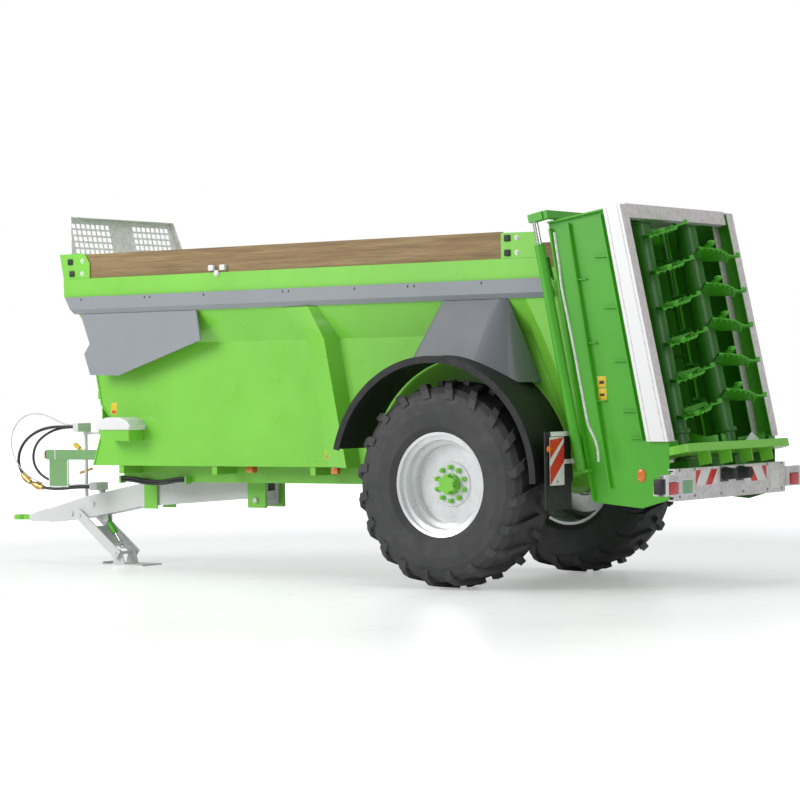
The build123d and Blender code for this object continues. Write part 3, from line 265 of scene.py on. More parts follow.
def painted(name, colour, rough=0.3, coat=0.35, variation=0.06, dust=0.12):
    """Paint on sheet steel: faint waviness, orange peel, patchy gloss and dust low down."""
    surface = Surface(name, colour, rough, coat=coat)
    surface.shade(surface.noise(1.3, 4), 1 - variation, 1 + variation)
    dusty = surface.nodes.new("ShaderNodeMath")
    dusty.operation = "MULTIPLY"
    surface.links.new(surface.ranged(surface.height(0.1, 1.4), dust, 0.0, 0.0, 1.0), dusty.inputs[0])
    surface.links.new(surface.ranged(surface.noise(7.0, 5), 0.0, 1.0, 0.35, 0.75), dusty.inputs[1])
    surface.blend(dusty.outputs[0], (0.42, 0.38, 0.32))
    surface.roughness(surface.noise(5.0, 4), rough - 0.05, rough + 0.09)
    surface.relief(surface.noise(170.0, 2), 0.10, 0.0006)
    return surface.material


def galvanised(name, colour=(0.78, 0.75, 0.745), metallic=0.2):
    """Zinc-coated steel with spangle and faint streaks."""
    surface = Surface(name, colour, 0.42, metallic=metallic)
    surface.shade(surface.cells(34.0), 0.90, 1.06)
    surface.blend(surface.ranged(surface.noise(3.0, 5, (1, 1, 4)), 0.0, 0.25, 0.45, 0.8), (0.62, 0.60, 0.59))
    surface.roughness(surface.cells(34.0), 0.34, 0.5)
    surface.relief(surface.noise(120.0, 3), 0.12, 0.0005)
    return surface.material


def bare_steel(name, colour=(0.42, 0.42, 0.43), rough=0.38):
    """Worked steel with fine scratches and a little brown film."""
    surface = Surface(name, colour, rough, metallic=0.85)
    surface.shade(surface.noise(30.0, 6, (1, 6, 6)), 0.82, 1.12)
    surface.blend(surface.ranged(surface.noise(4.0, 5), 0.0, 0.45, 0.5, 0.8), (0.21, 0.13, 0.08))
    surface.roughness(surface.noise(18.0, 4), rough - 0.1, rough + 0.14)
    surface.relief(surface.noise(220.0, 3, (1, 5, 5)), 0.15, 0.0004)
    return surface.material


def rubber(name, colour, rough=0.62, dust=0.0, grain=160.0):
    """Rubber with a fine grain, patchy bloom and dust."""
    surface = Surface(name, colour, rough)
    surface.shade(surface.noise(3.5, 5), 0.86, 1.14)
    surface.blend(surface.ranged(surface.noise(2.2, 6), 0.0, dust, 0.45, 0.75), (0.26, 0.24, 0.22))
    surface.roughness(surface.noise(11.0, 5), rough - 0.08, rough + 0.12)
    surface.relief(surface.noise(grain, 4), 0.22, 0.0012)
    return surface.material


def moulded(name, colour, rough=0.5, coat=0.0):
    """Moulded plastic with a leathery grain."""
    surface = Surface(name, colour, rough, coat=coat)
    surface.shade(surface.noise(6.0, 4), 0.9, 1.1)
    surface.roughness(surface.noise(14.0, 4), rough - 0.08, rough + 0.08)
    surface.relief(surface.cells(260.0), 0.10, 0.0005)
    return surface.material


def timber(name):
    """Brown boards: long grain, growth bands, knots' swirls and dark pores."""
    surface = Surface(name, (0.34, 0.225, 0.098), 0.62)
    surface.shade(surface.noise(1.0, 5, (1.2, 12, 30), 0.6), 0.62, 1.18)
    surface.blend(surface.ranged(surface.noise(1.0, 8, (2.6, 40, 95), 1.6), 0.0, 0.62, 0.48, 0.66),
                  (0.20, 0.115, 0.055))
    surface.blend(surface.ranged(surface.noise(1.0, 3, (0.45, 6, 9), 2.4), 0.0, 0.5, 0.52, 0.72),
                  (0.44, 0.32, 0.155))
    surface.blend(surface.ranged(surface.noise(1.0, 6, (9, 160, 260)), 0.0, 0.5, 0.58, 0.72),
                  (0.12, 0.07, 0.035))
    surface.roughness(surface.noise(1.0, 4, (3, 60, 90)), 0.5, 0.75)
    surface.relief(surface.noise(1.0, 6, (3, 70, 160)), 0.35, 0.002)
    return surface.material


def polished(name, colour, rough=0.12):
    """Chromed rod with faint draw marks."""
    surface = Surface(name, colour, rough, metallic=1.0)
    surface.shade(surface.noise(9.0, 4), 0.93, 1.04)
    surface.roughness(surface.noise(60.0, 4, (1, 8, 8)), rough - 0.05, rough + 0.08)
    return surface.material


def rim_paint(name):
    """Silver-white wheel paint with a satin sheen and slight brake dust."""
    surface = Surface(name, (0.80, 0.81, 0.82), 0.30, metallic=0.30, coat=0.25)
    surface.shade(surface.noise(4.0, 4), 0.93, 1.04)
    surface.blend(surface.ranged(surface.noise(9.0, 6), 0.0, 0.22, 0.5, 0.8), (0.55, 0.53, 0.50))
    surface.roughness(surface.noise(8.0, 4), 0.24, 0.38)
    surface.relief(surface.noise(240.0, 2), 0.08, 0.0005)
    return surface.material


def post_paint(name):
    """Corner posts: white outer side faces, green inside faces, galvanised grey elsewhere."""
    surface = Surface(name, (0.80, 0.75, 0.74), 0.42, metallic=0.1)
    surface.shade(surface.cells(30.0), 0.92, 1.05)
    surface.blend(surface.sideways(-0.7, -0.8), FRAME_GREEN)
    surface.blend(surface.sideways(0.7, 0.8), (0.96, 0.96, 0.96))
    surface.roughness(surface.noise(9.0, 4), 0.36, 0.5)
    surface.relief(surface.noise(140.0, 3), 0.1, 0.0005)
    return surface.material


def green_with_painted_shade(name, painted_shade_mask):
    """Green sheet with painted shade: a darker green is painted where the mask gives 1, standing in for the
    shade that falls there.
    """
    surface = Surface(name, FRAME_GREEN, 0.36, coat=0.2)
    surface.shade(surface.noise(1.3, 4), 0.94, 1.06)
    surface.blend(painted_shade_mask(surface), PAINTED_SHADE_GREEN)
    surface.roughness(surface.noise(5.0, 4), 0.31, 0.45)
    surface.relief(surface.noise(170.0, 2), 0.10, 0.0006)
    return surface.material


def shade_on_inner_faces(surface):
    """1 on the faces of the beater housing that are turned to the beaters, which get painted shade."""
    return surface.sideways(-0.7, -0.8)


def shade_below_crossbar(surface):
    """1 on the slurry door below the crossbar at its top, which gets painted shade; the crossbar stays
    bright green.
    """
    return surface.ranged(surface.height(3.05, 3.10), 1.0, 0.0, 0.0, 1.0)


def lens(name, colour):
    """Coloured lamp glass with ribs moulded in."""
    surface = Surface(name, colour, 0.12, coat=0.8)
    ribs = surface.nodes.new("ShaderNodeTexWave")
    ribs.inputs["Scale"].default_value = 34.0
    surface.links.new(surface.place.outputs["Object"], ribs.inputs["Vector"])
    surface.shade(ribs.outputs["Fac"], 0.75, 1.2)
    surface.shader.inputs["Subsurface Weight"].default_value = 0.15
    surface.relief(ribs.outputs["Fac"], 0.35, 0.002)
    return surface.material


def make_materials():
    """Every material, by a short name."""
    return {
        "green": painted("body_green_paint", BODY_GREEN),
        "frame_green": painted("frame_green_paint", FRAME_GREEN, 0.36, 0.2),
        "grey": painted("trim_grey_paint", (0.30, 0.32, 0.345), 0.42, 0.1, 0.04),
        "cover_grey": painted("cover_grey_paint", (0.17, 0.183, 0.20), 0.36, 0.2, 0.04),
        "drawbar": painted("drawbar_grey_paint", (0.76, 0.77, 0.77), 0.42, 0.1),
        "bracket": painted("bracket_paint", (0.20, 0.42, 0.165), 0.4, 0.2),
        # Painted shade: a darker copy of the frame green, for beater parts that stand in shade deep inside
        # the housing.
        "shade_painted_green": painted("beater_green_painted_shade", (0.030, 0.205, 0.008), 0.36, 0.2),
        # Painted shade: the housing's inner faces and the door below its crossbar are painted a darker green
        # for the shade that falls there.
        "housing": green_with_painted_shade("housing_green_paint_with_painted_shade", shade_on_inner_faces),
        "door": green_with_painted_shade("door_green_paint_with_painted_shade", shade_below_crossbar),
        "white": painted("white_paint", (0.86, 0.86, 0.86), 0.35, 0.2, 0.03, 0.05),
        "galvanised": galvanised("galvanised_steel"),
        "guard": galvanised("guard_steel", (0.96, 0.95, 0.93), 0.02),
        "post": post_paint("post_steel"),
        "steel": bare_steel("bare_steel"),
        "dark_steel": bare_steel("dark_steel", (0.16, 0.16, 0.17), 0.45),
        "chrome": polished("rod_chrome", (0.82, 0.83, 0.84)),
        "brass": polished("coupler_brass", (0.72, 0.46, 0.16), 0.28),
        "wood": timber("board_timber"),
        "tyre": rubber("tyre_rubber", (0.046, 0.046, 0.048), 0.62, 0.10),
        "rubber": rubber("black_rubber", (0.022, 0.022, 0.024), 0.55, 0.05),
        "flap": rubber("flap_rubber", (0.018, 0.019, 0.018), 0.6, 0.10, 90.0),
        "hose": rubber("hose_cover", (0.030, 0.031, 0.036), 0.42, 0.05, 300.0),
        "guard_plastic": moulded("mudguard_plastic", (0.010, 0.010, 0.011), 0.58),
        "sheath": moulded("cable_sheath", (0.62, 0.64, 0.67), 0.4),
        "rim": rim_paint("rim_silver_paint"),
        "red_lens": lens("red_lens", (0.62, 0.03, 0.03)),
        "orange_lens": lens("orange_lens", (0.85, 0.22, 0.02)),
        "clear_lens": lens("clear_lens", (0.78, 0.78, 0.80)),
        "red_film": moulded("red_reflective_film", (0.72, 0.035, 0.025), 0.35, 0.3),
        "white_film": moulded("white_reflective_film", (0.82, 0.82, 0.79), 0.35, 0.3),
        "yellow": moulded("yellow_film", (0.85, 0.58, 0.02), 0.4, 0.2),
        "black_film": moulded("black_film", (0.02, 0.02, 0.02), 0.4),
        "mint": moulded("mint_film", (0.25, 0.48, 0.28), 0.45),
    }


NODE_LOOKS = {
    "green": ["hopper_side_left", "hopper_side_right", "front_wall", "top_rails", "board_end_plates",
              "tool_box", "chassis_frame", "hub_left", "hub_right", "disc_pan", "coupling_eye"],
    "frame_green": ["door_cylinder_barrels", "beater_left_blades", "beater_left_disc",
                    "beater_right_blades", "beater_right_disc", "stand_barrel"],
    "housing": ["beater_frame_left", "beater_frame_right"],
    "door": ["slurry_door"],
    # These beater parts take the darker copy of the frame green, which is painted shade.
    "shade_painted_green": ["beater_left_tube", "beater_right_tube", "beater_gearboxes", "top_bearings"],
    "bracket": ["front_brackets"],
    "grey": ["trim_strips", "front_fairings"],
    "cover_grey": ["arch_covers"],
    "drawbar": ["drawbar_beam", "drawbar_nose", "stand_leg", "stand_foot", "hose_mast"],
    "white": ["tool_box_lid"],
    "galvanised": ["light_bar", "hydraulic_pipes"],
    "guard": ["stone_guard"],
    "post": ["rear_frame"],
    "steel": ["axle_beam", "hopper_floor", "driveline_shaft", "conveyor_drive_shaft",
              "conveyor_idler_shaft", "scraper_chain"],
    "chrome": ["door_rods", "stand_rod"],
    "wood": ["top_boards"],
    "tyre": ["tyre_left", "tyre_right"],
    "rubber": ["rubber_bumpers"],
    "flap": ["mudflaps"],
    "guard_plastic": ["mudguards"],
    "rim": ["rim_left", "rim_right"],
    "white_film": ["warning_boards"],
}


def dress_nodes():
    """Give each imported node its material."""
    for look, names in NODE_LOOKS.items():
        for name in names:
            data = NODES[name].data
            data.materials.clear()
            data.materials.append(LOOKS[look])


# ---------------------------------------------------------------- mesh helpers
SMOOTH_ANGLE = math.radians(35.0)


def piece(name, mesh, look, body):
    """Link a finished mesh as a piece that rides on a body."""
    obj = bpy.data.objects.new(name, mesh)
    SCENE.collection.objects.link(obj)
    mesh.materials.append(LOOKS[look])
    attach(obj, body)
    return obj


def add_box(bm, low, high, radius=0.003):
    """Rounded box between two corners."""
    low, high = Vector(low), Vector(high)
    made = bmesh.ops.create_cube(bm, size=1.0)["verts"]
    middle = (low + high) / 2
    for vert in made:
        vert.co = Vector((vert.co.x * (high.x - low.x), vert.co.y * (high.y - low.y),
                          vert.co.z * (high.z - low.z))) + middle
    edges = list({edge for vert in made for edge in vert.link_edges})
    bmesh.ops.bevel(bm, geom=edges, offset=radius, segments=2, affect="EDGES", profile=0.6)


def frame_of(direction):
    """Rotation that turns +Z to a direction."""
    return Vector(direction).to_track_quat("Z", "Y").to_matrix().to_4x4()


def add_turned(bm, place, direction, profile, sides=24):
    """Solid turned about an axis: profile is (distance along the axis, radius), end to end."""
    turn = Matrix.Translation(Vector(place)) @ frame_of(direction)
    rings = []
    for along, radius in profile:
        ring = []
        for index in range(sides):
            angle = 2 * math.pi * index / sides
            corner = Vector((radius * math.cos(angle), radius * math.sin(angle), along))
            ring.append(bm.verts.new(turn @ corner))
        rings.append(ring)
    for lower, upper in zip(rings, rings[1:]):
        for index in range(sides):
            after = (index + 1) % sides
            bm.faces.new((lower[index], lower[after], upper[after], upper[index]))
    bm.faces.new(list(reversed(rings[0])))
    bm.faces.new(rings[-1])


def add_bolt(bm, place, direction, radius):
    """Hexagon head with a chamfer, on a round washer, with the thread's end in its middle."""
    add_turned(bm, place, direction, [(0.0, radius * 1.5), (0.15 * radius, radius * 1.5)], 20)
    head = [(0.15 * radius, radius), (0.75 * radius, radius), (0.9 * radius, radius * 0.85)]
    add_turned(bm, place, direction, head, 6)
    add_turned(bm, place, direction, [(0.9 * radius, radius * 0.45), (1.2 * radius, radius * 0.4)], 12)


def finished(bm, name):
    """Mesh from a bmesh, with faces smooth up to SMOOTH_ANGLE."""
    bmesh.ops.recalc_face_normals(bm, faces=bm.faces)
    for face in bm.faces:
        face.smooth = True
    for edge in bm.edges:
        if len(edge.link_faces) == 2 and edge.calc_face_angle(0.0) > SMOOTH_ANGLE:
            edge.smooth = False
    mesh = bpy.data.meshes.new(name)
    bm.to_mesh(mesh)
    bm.free()
    return mesh


def bolts(name, places, direction, look, body, radius=0.013):
    """One piece of many bolt heads."""
    bm = bmesh.new()
    for place in places:
        add_bolt(bm, place, direction, radius)
    return piece(name, finished(bm, name), look, body)


def boxes(name, spans, look, body, radius=0.003):
    """One piece of one or more rounded boxes."""
    bm = bmesh.new()
    for low, high in spans:
        add_box(bm, low, high, radius)
    return piece(name, finished(bm, name), look, body)


def add_prism(bm, outline, direction, thickness):
    """Flat prism: a planar outline pushed along a direction."""
    shift = Vector(direction).normalized() * thickness
    base = [bm.verts.new(Vector(corner)) for corner in outline]
    top = [bm.verts.new(Vector(corner) + shift) for corner in outline]
    bm.faces.new(base)
    bm.faces.new(list(reversed(top)))
    for index in range(len(base)):
        after = (index + 1) % len(base)
        bm.faces.new((base[index], base[after], top[after], top[index]))


def plates(name, outlines, direction, thickness, look, body):
    """One piece of one or more flat plates with slightly rounded edges."""
    bm = bmesh.new()
    for outline in outlines:
        add_prism(bm, outline, direction, thickness)
    bmesh.ops.bevel(bm, geom=list(bm.edges), offset=thickness * 0.2, segments=1, affect="EDGES")
    return piece(name, finished(bm, name), look, body)


# ---------------------------------------------------------------- hoses
MM = 0.001
PRESSURE_ROUTE = [(-3310, -188, 1425), (-3470, -188, 1425), (-3645, -192, 1424),
                  (-3820, -200, 1388), (-3975, -212, 1310), (-4070, -225, 1195),
                  (-4095, -235, 1065), (-4035, -240, 935), (-3905, -240, 838), (-3720, -230, 785),
                  (-3520, -214, 778), (-3315, -188, 800), (-3110, -188, 800)]
RETURN_ROUTE = [(-3310, -144, 1420), (-3460, -144, 1420), (-3620, -138, 1402), (-3780, -130, 1350),
                (-3915, -122, 1270), (-3990, -114, 1155), (-3990, -108, 1030), (-3905, -104, 925),
                (-3760, -106, 860), (-3585, -112, 822), (-3425, -117, 806), (-3268, -120, 810),
                (-3110, -120, 810)]
CABLE_ROUTE = [(-3310, -218, 1444), (-3405, -218, 1444), (-3505, -219, 1472), (-3618, -224, 1522),
               (-3745, -232, 1560), (-3878, -242, 1566), (-4000, -252, 1530), (-4095, -260, 1452),
               (-4147, -266, 1350), (-4157, -270, 1240), (-4124, -272, 1130), (-4058, -270, 1030),
               (-3962, -268, 940), (-3838, -264, 872), (-3690, -256, 832), (-3545, -242, 816),
               (-3405, -222, 816), (-3258, -204, 830), (-3110, -204, 830)]
CHASSIS_ROUTE = [(-2400, -490, 905), (-2290, -490, 905), (-2170, -494, 888), (-2050, -500, 874),
                 (-1920, -502, 872), (-1790, -497, 884), (-1670, -490, 905), (-1560, -490, 905)]


def nurbs(name, points, diameter, look, body):
    """Round hose on a smooth line with these points, given in millimetres, as control points."""
    data = bpy.data.curves.new(name, "CURVE")
    data.dimensions = "3D"
    data.bevel_depth = diameter / 2
    data.bevel_resolution = 5
    data.resolution_u = 8
    data.use_fill_caps = True
    spline = data.splines.new("NURBS")
    spline.points.add(len(points) - 1)
    for point, place in zip(spline.points, points):
        point.co = (*(MM * Vector(place)), 1.0)
    spline.order_u = 3
    spline.use_endpoint_u = True
    obj = bpy.data.objects.new(name, data)
    SCENE.collection.objects.link(obj)
    data.materials.append(LOOKS[look])
    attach(obj, body)
    return obj


def make_hoses():
    """The three free hoses between the mast's clamp and the drawbar's block."""
    cords = (
        ("pressure_hose", PRESSURE_ROUTE, 0.030, 2.066, "hose", "hose_rubber", "medium"),
        ("return_hose", RETURN_ROUTE, 0.026, 1.835, "hose", "hose_rubber", "medium"),
        ("brake_cable", CABLE_ROUTE, 0.012, 2.300, "sheath", "cable_sheath", "stiff"),
    )
    for node, route, diameter, length, look, slot, stiffness in cords:
        hose = nurbs(node + "_run", route, diameter, look, "drawbar")
        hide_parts(node)


def make_chassis_hoses():
    """Bundle of four hoses clipped together beside the chassis rail."""
    first = None
    for name, dy, dz in (("a", -15, 13), ("b", 14, 15), ("c", -13, -14), ("d", 15, -13)):
        points = [(x, y + dy, z + dz) for x, y, z in CHASSIS_ROUTE]
        hose = nurbs(f"chassis_hose_{name}", points, 0.025, "hose", "root")
        first = first or hose
    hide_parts("chassis_hoses")


# ---------------------------------------------------------------- lamps, boards and films
FILM_THICKNESS = 0.0012
FRAME_FACE, WALL_FACE = -0.960, -0.750
# name, face they lie on, how far they start and end ahead of it, look, (x, x, z, z) of each
NOTICES = (
    ("frame_notices", FRAME_FACE, 0.0015, 0.0, "yellow",
     ((3.475, 3.560, 1.765, 1.860), (3.480, 3.565, 1.655, 1.755))),
    ("frame_notice_bars", FRAME_FACE, 0.0025, 0.001, "black_film",
     ((3.495, 3.540, 1.795, 1.822), (3.500, 3.545, 1.690, 1.712))),
    ("wall_notices", WALL_FACE, 0.0015, 0.0, "yellow",
     ((-2.312, -2.235, 1.560, 1.672), (0.355, 0.435, 1.125, 1.215), (0.455, 0.530, 1.118, 1.208))),
    ("wall_notice_bars", WALL_FACE, 0.0025, 0.001, "red_film",
     ((-2.300, -2.247, 1.570, 1.596), (0.368, 0.422, 1.135, 1.165), (0.468, 0.518, 1.128, 1.158))),
)


def on_both_sides(spans):
    """Boxes on the left and their mirror images on the right."""
    both = []
    for low, high in spans:
        both.append((low, high))
        both.append(((low[0], -high[1], low[2]), (high[0], -low[1], high[2])))
    return both


def make_lamps():
    """Tail lamps with guards and lenses, side markers and reflectors."""
    back, tip, out = 4.234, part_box("lamps")[1].x, 1.290
    foot, head = 0.845, 1.025
    housing = boxes("tail_lamp_guards", on_both_sides([
        ((back, -out + 0.052, foot), (tip - 0.022, -out + 0.280, head)),
        ((back, -out + 0.052, foot), (tip - 0.006, -out + 0.110, head)),
    ]), "white", "root", 0.006)
    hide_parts("lamps")
    boxes("tail_lamp_ends", on_both_sides([
        ((back - 0.03, -out, foot + 0.02), (tip - 0.004, -out + 0.052, head - 0.03)),
    ]), "black_film", "root", 0.010)
    boxes("tail_lamp_lenses", on_both_sides([
        ((tip - 0.024, -out + 0.114, foot + 0.012), (tip - 0.001, -out + 0.268, head - 0.065)),
    ]), "red_lens", "root", 0.008)
    boxes("tail_lamp_clear_lenses", on_both_sides([
        ((tip - 0.024, -out + 0.114, head - 0.062), (tip - 0.003, -out + 0.268, head - 0.010)),
    ]), "clear_lens", "root", 0.006)
    boxes("side_marker_lamps", on_both_sides([
        ((-0.690, -0.640, 0.985), (-0.610, -0.560, 1.046)),
        ((0.410, -0.738, 0.985), (0.490, -0.690, 1.046)),
    ]), "orange_lens", "root", 0.008)
    boxes("front_marker_lenses", on_both_sides([((-3.330, -0.645, 1.110), (-3.3115, -0.595, 1.190))]),
          "red_lens", "root", 0.006)
    bm = bmesh.new()
    for side in (-1, 1):
        add_turned(bm, (3.240, side * 1.366, 1.245), (1, 0, 0),
                   [(-0.02, 0.024), (-0.012, 0.029), (-0.006, 0.027), (-0.002, 0.015), (0.0, 0.004)])
    piece("board_reflectors", finished(bm, "board_reflectors"), "orange_lens", "root")
    bm = bmesh.new()
    for side in (-1, 1):
        add_turned(bm, (3.9, side * 0.960, 1.01), (0, side, 0),
                   [(0.0, 0.058), (0.006, 0.058), (0.012, 0.05), (0.014, 0.03)], 32)
    for vert in bm.verts:
        vert.co.x = 3.9 + (vert.co.x - 3.9) * 0.74
    piece("oval_reflectors", finished(bm, "oval_reflectors"), "orange_lens", "root")


def make_board_stripes():
    """Red diagonal stripes on the boards behind the flaps."""
    outer = -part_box("warning_boards")[0].y
    inner = outer - 0.225
    foot, head = 0.930, 1.345
    face = 3.219
    outlines = []
    for side in (-1, 1):
        for level in (0.05, 0.62):
            start = foot + (head - foot) * level
            rise, width = (outer - inner) * 0.95, 0.135
            corners = [(side * outer, start - 0.03), (side * inner, start + rise - 0.03),
                       (side * inner, start + rise + width), (side * outer, start + width)]
            outlines.append([(face, y, min(max(z, foot + 0.004), head - 0.004)) for y, z in corners])
    plates("board_stripes", outlines, (1, 0, 0), 0.002, "red_film", "root")
    bolts("board_bolts", [(face, side * 1.222, z) for side in (-1, 1) for z in (0.96, 1.32)],
          (1, 0, 0), "steel", "root", 0.008)


def make_light_bar_films():
    """Red and white chevrons on the light bar, with a plate and a window beside them."""
    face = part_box("light_bar")[1].x
    foot, head = 0.915, 1.045
    white = [[(0.640, foot), (0.255, foot), (0.255, head), (0.640, head)]]
    red = [[(0.640, head), (0.548, head), (0.640, foot + 0.004)],
           [(0.375, head), (0.262, head), (0.362, foot), (0.475, foot)]]
    for colour, shapes, x in (("white", white, face), ("red", red, face + FILM_THICKNESS)):
        outlines = [[(x, side * out, z) for out, z in shape] for side in (-1, 1) for shape in shapes]
        plates(f"chevron_{colour}", outlines, (1, 0, 0), FILM_THICKNESS, f"{colour}_film", "root")
    boxes("number_plate_blank", [((face, 0.715, 0.834), (face + 0.004, 0.875, 0.999))],
          "white_film", "root", 0.0015)
    boxes("lamp_window_frame", [((face, -0.893, 0.842), (face + 0.005, -0.693, 0.980))],
          "white", "root", 0.002)
    boxes("lamp_window", [((face + 0.003, -0.880, 0.854), (face + 0.007, -0.706, 0.968))],
          "mint", "root", 0.0015)
    places = [(face, y, z) for y in (-0.92, -0.66, -0.2, 0.2, 0.66, 0.93) for z in (0.83, 1.055)]
    bolts("light_bar_bolts", places, (1, 0, 0), "steel", "root", 0.009)
    bm = bmesh.new()
    for side in (-1, 1):
        add_box(bm, (face, side * 0.14 - 0.07, 0.93), (face + 0.006, side * 0.14 + 0.07, 1.052), 0.003)
    piece("bumper_plates", finished(bm, "bumper_plates"), "dark_steel", "root")


def make_stickers():
    """Blank yellow notices, each with a plain dark or red bar."""
    for name, face, front, back, look, places in NOTICES:
        spans = [((ahead, face - front, foot), (behind, face - back, head))
                 for ahead, behind, foot, head in places]
        boxes(name, on_both_sides(spans), look, "root", 0.0006)


def make_bracket_borders():
    """Pale edges on the plates that hang from the front brackets, and a slot line on the bars."""
    out = -0.632
    boxes("bracket_borders", on_both_sides([
        ((-3.280, out - 0.002, 0.822), (-3.267, out, 1.097)),
        ((-3.028, out - 0.002, 0.822), (-3.015, out, 1.097)),
        ((-3.267, out - 0.002, 0.822), (-3.028, out, 0.831)),
        ((-3.190, -0.642, 1.101), (-3.180, -0.640, 1.199)),
    ]), "white", "root", 0.0007)


def make_rail_studs():
    """Square and round studs half way along each rail, and stops and bolts on the end plates."""
    face = -0.950
    boxes("rail_studs", on_both_sides([
        ((-0.852, face - 0.020, 2.928), (-0.788, -0.9305, 2.982)),
        ((-0.712, face - 0.020, 2.928), (-0.648, -0.9305, 2.982)),
    ]), "white", "root", 0.008)
    bm = bmesh.new()
    for side in (-1, 1):
        add_turned(bm, (-0.755, side * 0.949, 2.903), (0, side, 0),
                   [(0.0, 0.030), (0.014, 0.030), (0.022, 0.022), (0.025, 0.008)])
    piece("rail_knobs", finished(bm, "rail_knobs"), "white", "root")
    stops = [(-2.645, 3.080), (-2.625, 2.962), (2.560, 3.090), (2.560, 2.960)]
    boxes("end_stops", on_both_sides([
        ((x - 0.029, -0.960, z - 0.029), (x + 0.029, -0.9435, z + 0.029)) for x, z in stops
    ]), "rubber", "root", 0.006)
    plate_bolts = ((-2.487, 3.085), (-2.490, 2.960), (2.66, 3.090), (2.66, 2.960))
    for side, label in ((-1, "left"), (1, "right")):
        places = [(x, side * 0.944, z) for x, z in plate_bolts]
        bolts(f"end_plate_bolts_{label}", places, (0, side, 0), "white", "root", 0.016)


def make_post_lines():
    """Two grey lines down the white side face of each corner post."""
    outlines = []
    for side in (-1, 1):
        for low_x, top_x, top_z in ((4.004, 3.604, 3.300), (4.146, 3.712, 3.320)):
            outlines.append([(low_x, side * 1.0, 1.305), (low_x + 0.010, side * 1.0, 1.305),
                             (top_x + 0.010, side * 1.0, top_z), (top_x, side * 1.0, top_z)])
    for label, pair in (("left", outlines[:2]), ("right", outlines[2:])):
        plates(f"post_lines_{label}", pair, (0, -1 if label == "left" else 1, 0), 0.002,
               "galvanised", "root")


# ---------------------------------------------------------------- beaters
BEATERS = (("left", -1, 0.190, 6), ("right", 1, 0.335, 5))
BLADE_PITCH = 0.320
BLADE_TILT = math.radians(-12)
PLATE_TOP, KNIFE_TOP = 0.012, 0.026
BOLT_CIRCLE = 0.318


def beater_frame(label, up, facing):
    """Matrix from a blade plate's own axes to the frame's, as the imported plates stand."""
    joint = JOINTS[f"beater_{label}_spin"]
    axis = Vector(joint["axis"]).normalized()
    across = Vector((axis.z, 0.0, -axis.x))
    foot = Vector(joint["pos_m"]) + axis * up
    stand = Matrix((across, axis.cross(across), axis)).transposed().to_4x4()
    return Matrix.Translation(foot) @ stand @ Matrix.Rotation(math.radians(facing), 4, "Z")


def polar(radius, angle, height=0.0):
    """Point in a plate's own plane."""
    turn = math.radians(angle)
    return Vector((radius * math.cos(turn), radius * math.sin(turn), height))


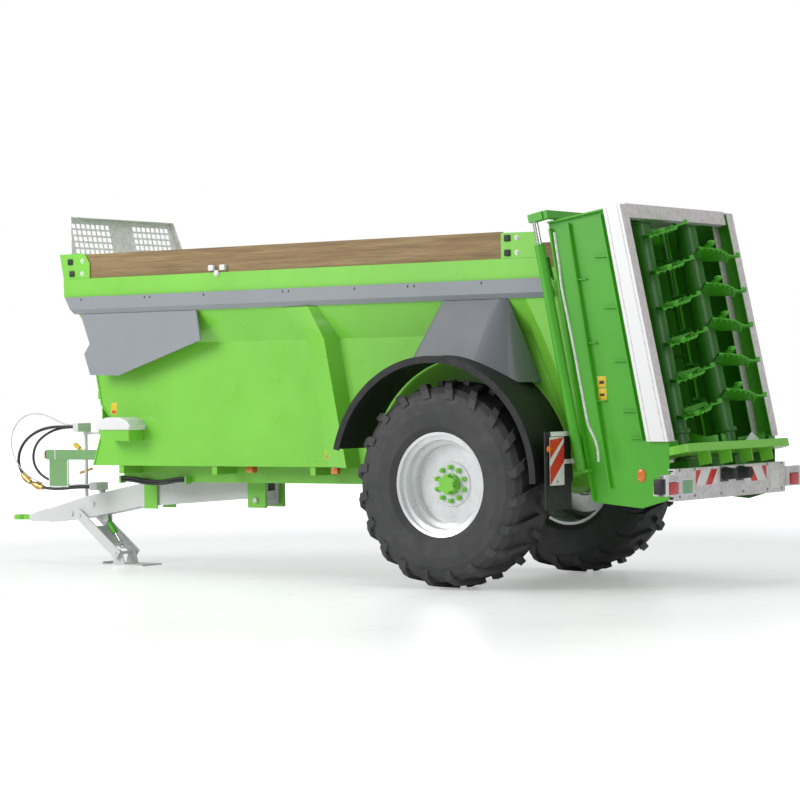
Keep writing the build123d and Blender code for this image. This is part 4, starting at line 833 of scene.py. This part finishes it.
def make_beater_details():
    """Wear bars, hooked tips and bolts on every blade plate, collars on the tubes and a fin on a disc."""
    for label, side, lowest, levels in BEATERS:
        body = f"beater_{label}"
        bars, heads = bmesh.new(), bmesh.new()
        for level in range(levels):
            for facing in (0, 180):
                stand = beater_frame(label, lowest + level * BLADE_PITCH, facing)
                stand = stand @ Matrix.Rotation(BLADE_TILT * side, 4, "X")
                normal = stand.to_3x3() @ Vector((0, 0, 1))
                for swing in range(-44, 45, 11):
                    add_bolt(heads, stand @ polar(BOLT_CIRCLE, swing, PLATE_TOP), normal, 0.011)
                    add_bolt(heads, stand @ polar(BOLT_CIRCLE, swing), -normal, 0.012)
                for swing in (-34, 34):
                    for radius in (0.290, 0.345):
                        add_bolt(heads, stand @ polar(radius, swing, KNIFE_TOP), normal, 0.013)
                    hook = [polar(radius, swing + ahead, KNIFE_TOP) for radius, ahead in
                            ((0.395, -4), (0.436, -1), (0.438, 4), (0.412, 5))]
                    add_prism(bars, [stand @ corner for corner in hook], normal, 0.024)
                for angle in (-46, 46):
                    tab = [polar(radius, angle + ahead, PLATE_TOP) for radius, ahead in
                           ((0.11, -2), (0.31, -2), (0.33, 2), (0.11, 2))]
                    add_prism(bars, [stand @ corner for corner in tab], normal, 0.018)
        bmesh.ops.bevel(bars, geom=list(bars.edges), offset=0.003, segments=1, affect="EDGES")
        piece(f"beater_{label}_wear_bars", finished(bars, "wear_bars"), "frame_green", body)
        piece(f"beater_{label}_bolts", finished(heads, "blade_bolts"), "frame_green", body)
        collars = bmesh.new()
        for up in (0.06, 1.93):
            stand = beater_frame(label, up, 0)
            axis = stand.to_3x3() @ Vector((0, 0, 1))
            add_turned(collars, stand.translation, axis,
                       [(-0.02, 0.094), (-0.02, 0.112), (0.0, 0.118), (0.02, 0.112), (0.02, 0.094)], 40)
        # The collars take the same darker green as the tubes, which is painted shade.
        piece(f"beater_{label}_collars", finished(collars, "collars"), "shade_painted_green", body)
    stand = beater_frame("right", -0.110, 0)
    corners = ((0.262, -0.19, 0.0), (0.262, 0.0, 0.105), (0.262, 0.21, 0.0))
    fin = [stand @ Vector(corner) for corner in corners]
    outward = stand.to_3x3() @ Vector((1, 0, 0))
    plates("disc_fin", [fin], outward, 0.006, "white", "beater_right")


# ---------------------------------------------------------------- drawbar fittings
def make_drawbar_fittings():
    """Couplings on the pressure hose, and a valve handle and a brown pipe on the mast's post."""
    bm = bmesh.new()
    for start, end in zip(PRESSURE_ROUTE[7:9], PRESSURE_ROUTE[8:10]):
        start, end = MM * Vector(start), MM * Vector(end)
        along = (end - start).normalized()
        add_turned(bm, (start + end) / 2 - along * 0.080, along,
                   [(0.0, 0.017), (0.01, 0.026), (0.05, 0.030), (0.055, 0.038),
                    (0.105, 0.038), (0.11, 0.030), (0.15, 0.026), (0.16, 0.017)], 24)
    piece("hose_couplers", finished(bm, "hose_couplers"), "brass", "drawbar")
    bm = bmesh.new()
    add_turned(bm, (-3.280, -0.075, 1.150), (-0.85, 0.0, 0.5),
               [(0.0, 0.010), (0.09, 0.010), (0.095, 0.022), (0.16, 0.026), (0.18, 0.020),
                (0.185, 0.008)], 20)
    piece("valve_handle", finished(bm, "valve_handle"), "yellow", "drawbar")
    bm = bmesh.new()
    add_turned(bm, (-3.365, -0.075, 0.942), (0.17, 0.0, 0.045),
               [(0.0, 0.009), (0.004, 0.013), (0.176, 0.013), (0.18, 0.009)], 16)
    piece("brake_pipe_stub", finished(bm, "brake_pipe_stub"), "brass", "drawbar")


def make():
    make_camera()
    make_light()
    make_hoses()
    make_chassis_hoses()
    dress_nodes()
    make_floor()
    make_lamps()
    make_board_stripes()
    make_light_bar_films()
    make_stickers()
    make_bracket_borders()
    make_rail_studs()
    make_post_lines()
    make_beater_details()
    make_drawbar_fittings()


LOOKS = make_materials()
make()
